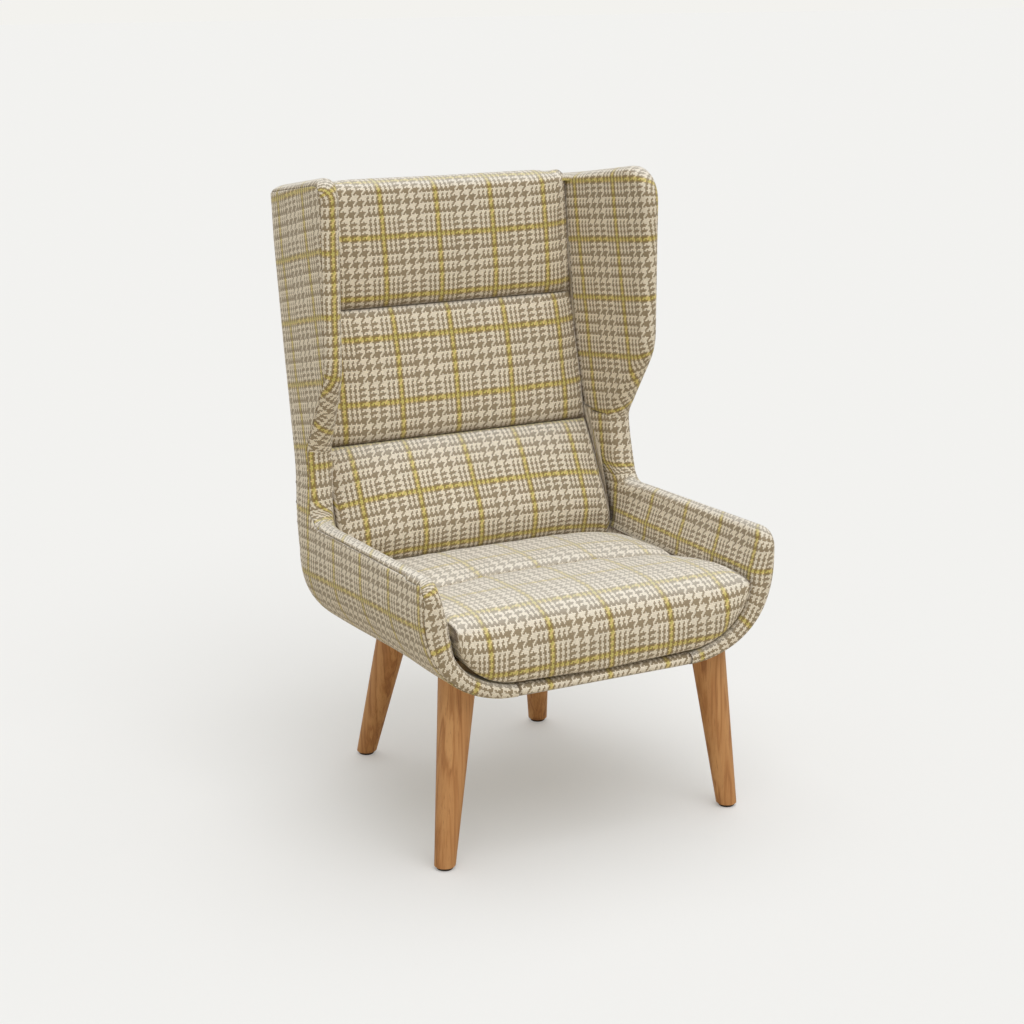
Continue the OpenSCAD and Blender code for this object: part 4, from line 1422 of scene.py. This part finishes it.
def point_tree(points: Array) -> KDTree:
    """A search tree over points.

    Args:
        points: rows of X, Y, Z.

    Returns:
        The balanced tree.
    """
    tree = KDTree(len(points))
    for number, place in enumerate(points):
        tree.insert(place, number)
    tree.balance()
    return tree


def nearest(points: Array, places: Array) -> list[int]:
    """Number of the point nearest to each place."""
    tree = point_tree(points)
    return [tree.find(place)[1] for place in places]


@dataclass(frozen=True)
class Row:
    """Small parts set at even distances along a path by Geometry Nodes."""

    name: str
    spacing: float
    size: tuple[float, float, float]
    wobble: float = 0.05
    seed: int = 7

    def build(self, paths: Sequence[Array], material: bpy.types.Material, slot: str) -> None:
        """Make the row along its paths, as one piece.

        Args:
            paths: chains of points in the chair's own frame.
            material: finish of the small parts.
            slot: material slot of the record.
        """
        mesh = bpy.data.meshes.new(self.name)
        points = np.vstack(paths)
        edges, first = [], 0
        for path in paths:
            edges += [(first + k, first + k + 1) for k in range(len(path) - 1)]
            first += len(path)
        mesh.from_pydata(world(points).tolist(), edges, [])
        thing = bpy.data.objects.new(self.name, mesh)
        bpy.context.scene.collection.objects.link(thing)
        modifier = thing.modifiers.new("row", "NODES")
        modifier.node_group = self._tree(material)
        sockets = modifier.node_group.interface.items_tree
        names = {item.name: item.identifier for item in sockets if item.item_type == "SOCKET"}
        modifier[names["Spacing"]] = self.spacing / 1000
        modifier[names["Wobble"]] = self.wobble
        modifier[names["Seed"]] = self.seed
        made = evaluated(thing)
        thing.modifiers.remove(modifier)
        thing.data = made
        made.name = self.name
        settle(thing, slot)

    def _tree(self, material: bpy.types.Material) -> bpy.types.NodeTree:
        """Node group that sets rounded bars along a path's edges.

        Args:
            material: finish of the bars.

        Returns:
            The tree, with Spacing, Wobble and Seed as its inputs.
        """
        tree = bpy.data.node_groups.new(self.name, "GeometryNodeTree")
        face = tree.interface
        face.new_socket("Geometry", in_out="INPUT", socket_type="NodeSocketGeometry")
        for word, kind in (("Spacing", "NodeSocketFloat"), ("Wobble", "NodeSocketFloat"), ("Seed", "NodeSocketInt")):
            face.new_socket(word, in_out="INPUT", socket_type=kind)
        face.new_socket("Geometry", in_out="OUTPUT", socket_type="NodeSocketGeometry")

        def add(kind: str, **values: object) -> bpy.types.Node:
            """Add a node and set or feed its inputs by name.

            Args:
                kind: the node's type name.
                values: sockets or values for its inputs, with underscores for blanks.

            Returns:
                The new node.
            """
            node = tree.nodes.new(kind)
            for key, value in values.items():
                target = node.inputs[key.replace("_", " ")]
                if isinstance(value, bpy.types.NodeSocket):
                    tree.links.new(value, target)
                else:
                    target.default_value = value
            return node

        given = tree.nodes.new("NodeGroupInput").outputs
        curve = add("GeometryNodeMeshToCurve", Mesh=given["Geometry"]).outputs[0]
        even = tree.nodes.new("GeometryNodeResampleCurve")
        even.mode = "LENGTH"
        tree.links.new(curve, even.inputs["Curve"])
        tree.links.new(given["Spacing"], even.inputs["Length"])
        bar = add("GeometryNodeMeshUVSphere", Segments=8, Rings=6, Radius=0.5)
        size = [k / 1000 for k in self.size]
        shaped = add("GeometryNodeTransform", Geometry=bar.outputs["Mesh"], Scale=size).outputs[0]
        tangent = tree.nodes.new("GeometryNodeInputTangent").outputs[0]
        aligned = tree.nodes.new("FunctionNodeAlignRotationToVector")
        aligned.axis = "X"
        tree.links.new(tangent, aligned.inputs["Vector"])
        chance = tree.nodes.new("FunctionNodeRandomValue")
        chance.data_type = "FLOAT_VECTOR"
        tree.links.new(given["Seed"], chance.inputs["Seed"])
        chance.inputs["Min"].default_value = (-1, -1, -1)
        spread = tree.nodes.new("ShaderNodeVectorMath")
        spread.operation = "SCALE"
        tree.links.new(chance.outputs[0], spread.inputs[0])
        tree.links.new(given["Wobble"], spread.inputs["Scale"])
        turned = tree.nodes.new("FunctionNodeRotateRotation")
        turned.rotation_space = "LOCAL"
        tree.links.new(aligned.outputs[0], turned.inputs[0])
        tree.links.new(spread.outputs[0], turned.inputs[1])
        placed = add("GeometryNodeInstanceOnPoints", Points=even.outputs[0], Instance=shaped,
                     Rotation=turned.outputs[0])
        real = add("GeometryNodeRealizeInstances", Geometry=placed.outputs[0]).outputs[0]
        soft = add("GeometryNodeSetShadeSmooth", Geometry=real).outputs[0]
        dyed = add("GeometryNodeSetMaterial", Geometry=soft, Material=material).outputs[0]
        tree.links.new(dyed, tree.nodes.new("NodeGroupOutput").inputs[0])
        return tree


@dataclass
class Sewing:
    """Closing stitches of the outside back and staples of the bottom cover."""

    skin: Skin = field(default_factory=Skin)
    floor_x: float = 172.0
    seam_inset: float = 1.2
    seam_sink: float = 1.1
    seam_rise: float = 20.0
    seam_top: float = 1060.0
    staple_inset: float = 6.0
    staple_sink: float = 0.4
    staple_run: tuple[float, float] = (60.0, 420.0)
    staple_front: float = 52.0
    staple_reach: float = 150.0

    def build(self) -> None:
        """Make the rows of stitches and staples."""
        thread = Moulding("thread", (128, 112, 88), 0.8).material()
        steel = Metal("staple_steel").material()
        skin = self.skin
        b = np.linspace(skin.bottom + self.seam_rise, self.seam_top, 90)
        a = skin.end(b) - self.seam_inset
        path = skin.place(a, b) - skin.normal(a, b) * self.seam_sink
        seams = [path * np.array([side.value, 1, 1]) for side in Side]
        Row("closing_stitches", 7.0, (4.6, 0.8, 0.8)).build(seams, thread, "check_fabric")
        line = np.linspace(*self.staple_run, 40)
        low = np.full(40, skin.underside - self.staple_sink)
        edge = np.full(40, self.floor_x - self.staple_inset)
        rows = [np.stack([side.value * edge, line, low], -1) for side in Side]
        across = np.linspace(-self.staple_reach, self.staple_reach, 40)
        rows.append(np.stack([across, np.full(40, self.staple_front), low], -1))
        Row("base_staples", 26.0, (10.0, 1.3, 0.9), 0.12).build(rows, steel, "steel")


@dataclass
class Cushions:
    """Seat and back cushion, each stuffed in channels between its seams."""

    cloth: bpy.types.Material
    stuffing: Stuffing = field(default_factory=Stuffing)
    skin: Skin = field(default_factory=Skin)
    seat_half_w: float = 289.5
    toe: float = math.tan(math.radians(0.5))
    well_x: float = 172.0
    well_r: float = 120.0
    well_h: float = 450.0
    front_crest: float = 456.0
    rear_crest: float = 449.0
    channel_y: float = 240.0
    channel_drop: float = 17.0
    crown: float = 27.0
    front_crown: float = 8.0
    roll: float = 62.0
    proud: float = 2.0
    lumbar_y: float = 466.0
    seat_end: float = 467.5
    heights: tuple[float, ...] = (449.0, 627.0, 871.0, 1080.0)
    crowns: tuple[float, ...] = (28.0, 21.0, 21.0)
    back_roll: float = 18.0
    back_top: float = 1098.0
    back_rise: float = 22.0
    top_end: float = 692.0
    rear_clear: float = 37.1
    columns: int = 57
    counts: tuple[int, ...] = (24, 28, 26)
    front_stripe: float = 352.5
    stripes: tuple[float, ...] = (539.5, 697.0, 890.4)
    drift: tuple[float, ...] = (0.0, 0.0, 0.024)
    offset: tuple[float, ...] = (-4.5, -3.0, -16.9)
    width: tuple[float, ...] = (114.8, 116.0, 114.0)
    tall: tuple[float, ...] = (111.5, 120.0, 111.5)
    cap_shares: tuple[float, float, float] = (0.86, 0.66, 0.42)

    @property
    def middle(self) -> int:
        """Number of the column in the middle."""
        return self.columns // 2

    def floor(self, x: Array) -> Array:
        """Height of the well's lining under the seat cushion.

        Args:
            x: distances from the middle.

        Returns:
            Heights of the lining.
        """
        x = np.abs(x)
        flat = 324 + (self.well_h - self.well_r - 324) * x / self.well_x + 1.5
        arc = self.well_h - np.sqrt(np.maximum(0, self.well_r ** 2 - (x - self.well_x) ** 2)) + 1.5
        return np.where(x <= self.well_x, flat, arc)

    def seat_line(self, y: Array) -> Array:
        """Height of the seat along its middle.

        Args:
            y: depths from the front.

        Returns:
            Heights of the seat.
        """
        low = self.front_crest - self.channel_drop
        front = mix(low, self.front_crest, bun(np.maximum(0, (y - self.roll) / (self.channel_y - self.roll))))
        t = np.clip((y - self.channel_y) / (self.seat_end - self.channel_y), 0, 1)
        rear = low - self.channel_drop * t + (self.rear_crest - low + self.channel_drop / 2) * bun(2 * t - 1)
        return np.where(y < self.channel_y, front, rear)

    def seat_top(self, u: Array, y: Array) -> Array:
        """Height of the seat's surface across its width.

        Args:
            u: share of the half width, from -1 to 1.
            y: depths from the front.

        Returns:
            Heights of the surface.
        """
        side = np.maximum(0, 1 - np.abs(u) ** 3) ** 0.6
        x = u * (self.seat_half_w - np.maximum(0, y) * self.toe)
        crown = mix(self.front_crown, self.crown, smooth(90, 240, y))
        return np.maximum(self.seat_line(y) - crown * (1 - side), np.maximum(375.7, self.floor(x)) + 3)

    def rear(self, h: Array) -> Array:
        """Depths of the back cushion's rear face at heights above the floor."""
        skin = self.skin
        return skin.depth + (h - skin.underside) * skin.lean - self.rear_clear / math.cos(math.radians(skin.recline))

    def seat(self) -> tuple[Array, Array, list[int], int]:
        """Rings of the seat cushion, one per column.

        Returns:
            Points by column and row, repeats of the check, the rows of its seams and the number of its outer rows.
        """
        columns = []
        for angle in np.linspace(-math.pi / 2, math.pi / 2, self.columns):
            u = math.sin(angle)
            back = np.linspace(530, self.seat_end, 5)[:-1]
            rear = mix(self.seat_end, self.channel_y, shares(26))
            front = mix(self.channel_y, self.roll, shares(33)[:17] * 2)[1:]
            y = np.concatenate([back, rear, front])
            z = self.seat_top(u, np.minimum(y, self.seat_end)) - 1.5 * (y > self.seat_end)
            crest = float(self.seat_top(u, np.array(self.roll)))
            low = float(self.floor(np.array(abs(u) * self.seat_half_w)))
            drop = (crest - low) / 2.2
            turn = np.radians(np.linspace(0, 90, 15)[1:])
            ry = self.roll - (self.roll + self.proud) * np.sin(turn)
            rz = crest - drop * (1 - np.cos(turn))
            fall = np.linspace(0, 1, 14)[1:]
            fy = -self.proud + 4.0 * fall ** 6 + 5 * np.maximum(0, fall - 0.92) / 0.08
            fz = mix(crest - drop, low, fall)
            tuck = np.array([12.0, 24.0, 42.0])
            under = np.array([42.0, 160.0, 300.0, 420.0, 530.0])
            low_z = max(376.0, low)
            uy = np.concatenate([tuck, under])
            uz = np.concatenate([np.full(3, low), np.full(5, low_z)])
            yy, zz = np.concatenate([y, ry, fy, uy]), np.concatenate([z, rz, fz, uz])
            columns.append(np.stack([u * (self.seat_half_w - np.maximum(0, yy) * self.toe), yy, zz], -1))
        points = np.array(columns)
        outer = 4 + 26 + 16 + 14 + 13
        across, along = lengths(points, 0), lengths(points, 1)
        across -= across[self.middle]
        stripe = int(np.argmin(np.abs(points[self.middle, 46:outer, 2] - self.front_stripe))) + 46
        v = (along[self.middle, stripe] - along) / REPEAT[1] + STRIPE[1]
        u = (across - 7.5) / 117 + STRIPE[0] + 0.09 * smooth(1.3, 1.9, v)
        rear_bun = np.arange(points.shape[1])[None] < 29
        v = np.where(rear_bun, v + 0.41, np.interp(v, (-9, 0.75, 1.83, 2.6, 9.6), (-9, 0.75, 1.75, 2.75, 9.75)))
        repeats = np.stack([u, v], -1)
        return points, repeats, [4, 29], outer

    def back(self) -> tuple[Array, Array, list[int], int]:
        """Rings of the back cushion, one per column.

        Returns:
            Points by column and row, repeats of the check, the rows of its seams and the number of its outer rows.
        """
        columns, seams = [], []
        for angle in np.linspace(-math.pi / 2, math.pi / 2, self.columns):
            u = math.sin(angle)
            ys = [self.lumbar_y + 14 * u * u, self.rear(self.heights[1]) - 20, self.rear(self.heights[2]) - 14,
                  self.rear(self.back_top) - 2 * self.back_roll]
            side = max(0.12, math.sqrt(1 - min(1, abs(u) ** 6)))
            y, z = [], []
            seams = []
            for k in range(3):
                t = shares(self.counts[k])[(1 if k else 0):]
                full = bun(2 * t - 1) if k < 2 else np.where(t < 0.5, bun(2 * t - 1), 1 - 0.3 * (2 * t - 1) ** 2)
                y.append(mix(ys[k], ys[k + 1], t) - self.crowns[k] * full * side)
                z.append(mix(self.heights[k], self.heights[k + 1], t))
                seams.append(sum(len(q) for q in z) - 1)
            turn = np.radians(np.linspace(180, 0, 13)[1:])
            half_depth = (self.top_end - y[-1][-1]) / 2
            high = self.back_rise + 3.0 * smooth(-0.2, 1.0, -u)
            y.append(self.top_end - half_depth + half_depth * np.cos(turn))
            z.append(self.heights[3] + high * np.sin(turn) ** 0.8)
            h = np.linspace(self.heights[3] - 6, self.heights[0] + 10, 26)[1:]
            y.append(self.rear(h))
            z.append(h)
            foot_y = np.linspace(float(self.rear(h[-1])) - 6, ys[0], 7)[:-1]
            y.append(foot_y)
            z.append(self.seat_top(u, np.minimum(foot_y, self.seat_end)) + 3)
            yy, zz = np.concatenate(y), np.concatenate(z)
            zz[0] = float(self.seat_top(u, np.array(self.seat_end))) + 3
            half = np.interp(zz, (449, 509, 629, 719, 870, 1063, 1100), (287, 284, 277.5, 276, 270.5, 267.5, 267))
            columns.append(np.stack([u * half, yy, zz], -1))
        points = np.array(columns)
        across, along = lengths(points, 0), lengths(points, 1)
        across -= across[self.middle]
        panel = np.zeros(points.shape[1], int)
        panel[seams[0] + 1:] = 1
        panel[seams[1] + 1:] = 2
        u_map, v_map = np.zeros(points.shape[:2]), np.zeros(points.shape[:2])
        for k in range(3):
            rows = np.nonzero(panel == k)[0]
            first = rows[0] if k == 0 else rows[0] - 1
            middle = points[self.middle]
            near = first + int(np.argmin(np.abs(middle[first:seams[k], 2] - self.stripes[k])))
            ahead = along[:, first] - along[self.middle, first]
            run = along[:, rows] - along[self.middle, near] - ahead[:, None]
            v_map[:, rows] = run / self.tall[k] + STRIPE[1]
            x = across[:, rows] + self.drift[k] * (middle[rows, 2] - 990)[None]
            u_map[:, rows] = (x - self.offset[k]) / self.width[k] + STRIPE[0]
        return points, np.stack([u_map, v_map], -1), seams, seams[2] + 13

    def close(self, points: Array, repeats: Array, crease_shades: Array, rearward: bool) -> Piece:
        """Close the rings into a bag with two end caps.

        Args:
            points: points by column and row.
            repeats: repeats of the check by column and row.
            crease_shades: depth of the seams' shadow by column and row.
            rearward: whether the rings start at the cushion's rear.

        Returns:
            The bag as one piece.
        """
        columns, rows = points.shape[:2]
        rings, uvs, marks = [points], [repeats], [crease_shades]
        for end, sign in ((0, -1), (columns - 1, 1)):
            ring = points[end]
            centre = ring.mean(0)
            for share in self.cap_shares:
                shrunk = centre + (ring - centre) * share
                shrunk[:, 0] = ring[:, 0] + sign * 1.2 * (1 - share)
                rings.append(shrunk[None])
                uvs.append((repeats[end] + np.array([sign * (1 - share) * 0.5, 0]))[None])
                marks.append(np.zeros((1, rows)))
        stack = np.concatenate(rings).reshape(-1, 3)
        order = [columns + 2, columns + 1, columns] + list(range(columns)) + [columns + 3, columns + 4, columns + 5]
        faces = []
        for p, q in zip(order[:-1], order[1:]):
            for r in range(rows):
                s = (r + 1) % rows
                face = (p * rows + r, p * rows + s, q * rows + s, q * rows + r)
                faces.append(face if rearward else tuple(reversed(face)))
        caps = (tuple(reversed(range(order[0] * rows, (order[0] + 1) * rows))),
                tuple(range(order[-1] * rows, (order[-1] + 1) * rows)))
        faces += [cap if rearward else tuple(reversed(cap)) for cap in caps]
        return Piece(stack, faces, np.concatenate(uvs).reshape(-1, 2), np.concatenate(marks).ravel())

    def build(self) -> None:
        """Make both cushions."""
        for name, made in (("seat_cushion", self.seat()), ("back_cushion", self.back())):
            points, repeats, seams, outer = made
            seat = name == "seat_cushion"
            sewn = seams[1:] if seat else seams[:2]
            crease_shades, held = np.zeros(points.shape[:2]), np.zeros(points.shape[:2])
            rows = np.arange(points.shape[1])
            # Painted shade along the sewn seams, reaching further above each seam on the back, where the panel above
            # bulges over it.
            for row in sewn:
                gap = np.linalg.norm(points - points[:, row:row + 1], axis=2)
                above = rows[None] > row
                reach = np.where(above, 3.0 if seat else 13.0, 3.0)
                crease_shades = np.maximum(crease_shades, np.exp(-(gap / reach) ** 2) * np.where(gap < 0.1, 1.0, 0.85))
                held = np.maximum(held, np.exp(-(gap / 4.0) ** 2))
            # Painted shade at both side edges, where the cushion meets the walls.
            edge = 1 - np.abs(np.sin(np.linspace(-math.pi / 2, math.pi / 2, len(points))))
            crease_shades = np.maximum(crease_shades, np.exp(-(edge * self.seat_half_w / 3.2) ** 2)[:, None])
            held[:, :5 if seat else 2] = held[:, outer - (3 if seat else 0):] = 1.0
            held[:2] = held[-2:] = 1.0
            piece = self.close(points, repeats, crease_shades, seat)
            weights = np.concatenate([held.ravel(), np.ones(len(piece.points) - held.size)])
            thing = piece.build(name + "_sewn", self.cloth)
            self.stuffing.plump(thing, weights)
            settle(thing, "check_fabric", name)


@dataclass
class Studio:
    """Pale floor and soft light."""

    pale: Colour = (232, 233, 235)
    speck: Colour = (230, 231, 233)
    bounce: Colour = (200, 192, 177)
    backdrop: Colour = (243, 242, 238)
    sky: float = 0.44
    lift: float = 0.28
    lamps: tuple[tuple[tuple[float, float, float], float, float], ...] = (
        ((-14.0, 0.0, -45.0), 1.12, 60.0), ((30.0, 0.0, -4.0), 1.18, 50.0))

    def build(self) -> None:
        """Make the floor, the sky light and the lamps."""
        floor = bpy.data.meshes.new("floor")
        r = 40.0
        floor.from_pydata([(-r, -r, 0), (r, -r, 0), (r, r, 0), (-r, r, 0)], [], [(0, 1, 2, 3)])
        thing = bpy.data.objects.new("floor", floor)
        g = Graph("studio_floor")
        speck = g.noise(g.place(), 240.0, 2.0)
        seen = g.mix(speck, linear(*self.pale), linear(*self.speck))
        path = g.add("ShaderNodeLightPath").outputs["Is Camera Ray"]
        base = g.mix(path, linear(*self.bounce), g.mix(self.lift, seen, (0, 0, 0, 1)))
        floor.materials.append(g.finish(Base_Color=base, Roughness=0.95, Specular_IOR_Level=0.0,
                                        Emission_Color=linear(*self.backdrop),
                                        Emission_Strength=g.math("MULTIPLY", path, self.lift)))
        bpy.context.scene.collection.objects.link(thing)
        world = bpy.data.worlds.new("studio")
        world.use_nodes = True
        tree = world.node_tree
        sky = tree.nodes["Background"]
        path = tree.nodes.new("ShaderNodeLightPath")
        tint = tree.nodes.new("ShaderNodeMix")
        tint.data_type = "RGBA"
        tint.inputs[6].default_value = (self.sky, self.sky * 0.97, self.sky * 0.88, 1.0)
        tint.inputs[7].default_value = linear(*self.backdrop)
        tree.links.new(path.outputs["Is Camera Ray"], tint.inputs[0])
        tree.links.new(tint.outputs[2], sky.inputs["Color"])
        bpy.context.scene.world = world
        for turn, strength, softness in self.lamps:
            self.sun(turn, strength, softness)

    def sun(self, turn: tuple[float, float, float], strength: float, softness: float) -> None:
        """Add a soft lamp far away.

        Args:
            turn: its rotation in degrees.
            strength: its strength.
            softness: its apparent size in degrees.
        """
        lamp = bpy.data.lights.new("lamp", "SUN")
        lamp.energy = strength
        lamp.angle = math.radians(softness)
        thing = bpy.data.objects.new("lamp", lamp)
        thing.rotation_euler = Euler([math.radians(k) for k in turn])
        bpy.context.scene.collection.objects.link(thing)


def dress_frame() -> None:
    """Give the CAD nodes that stay their finishes."""
    oak = Wood("oak", (216, 162, 106), (193, 135, 81), (154, 98, 54)).material()
    timber = Wood("frame_timber", (222, 194, 150), (202, 168, 120), (168, 130, 84),
                  grain=0.6, roughness=0.7, coat=0.0).material()
    finishes = {
        "oak": oak, "frame_timber": timber, "plywood": Ply().material(), "steel": Metal().material(),
        "webbing": Strap().material(), "glide_plastic": Moulding("glide_plastic", (40, 30, 24)).material(),
    }
    slots = {n["node"]: n["material_slot"] for n in frame["record"]["subparts"]}
    for name, thing in frame["nodes"].items():
        if slots.get(name) in finishes:
            thing.data.materials.clear()
            thing.data.materials.append(finishes[slots[name]])


@dataclass(frozen=True)
class Viewpoint:
    """Camera at the photograph's viewing angle, as fitted to it."""

    place: tuple[float, float, float] = (-1.7132, -3.2209, 1.5173)
    aim: tuple[float, float, float] = (0.0, -0.0259, 0.550)
    lens: float = 72.70
    sensor: float = 36.0
    shift: tuple[float, float] = (-0.00586, -0.01172)
    far: float = 60.0

    def build(self) -> None:
        """Make the camera and set it as the scene's own."""
        data = bpy.data.cameras.new("camera")
        data.lens = self.lens
        data.sensor_width = self.sensor
        data.shift_x, data.shift_y = self.shift
        data.clip_end = self.far
        thing = bpy.data.objects.new("camera", data)
        bpy.context.scene.collection.objects.link(thing)
        place, aim = Vector(self.place), Vector(self.aim)
        turn = (aim - place).to_track_quat("-Z", "Y").to_matrix()
        thing.matrix_world = Matrix.Translation(place) @ turn.to_4x4()
        bpy.context.scene.camera = thing


def main() -> None:
    """Build the chair and its surroundings."""
    logging.basicConfig(level=logging.INFO, format="%(name)s: %(message)s")
    bpy.context.scene.view_settings.view_transform = "Standard"
    Viewpoint().build()
    Studio().build()
    dress_frame()
    cloth = Check().material()
    wing_tops = {Side.LEFT: 1135.0, Side.RIGHT: 1142.5}
    for side in Side:
        SideWall(side, cloth, Skin(wing_top=wing_tops[side])).build()
    Back(cloth).build()
    Cushions(cloth).build()
    Sewing().build()


if __name__ == "__main__":
    main()
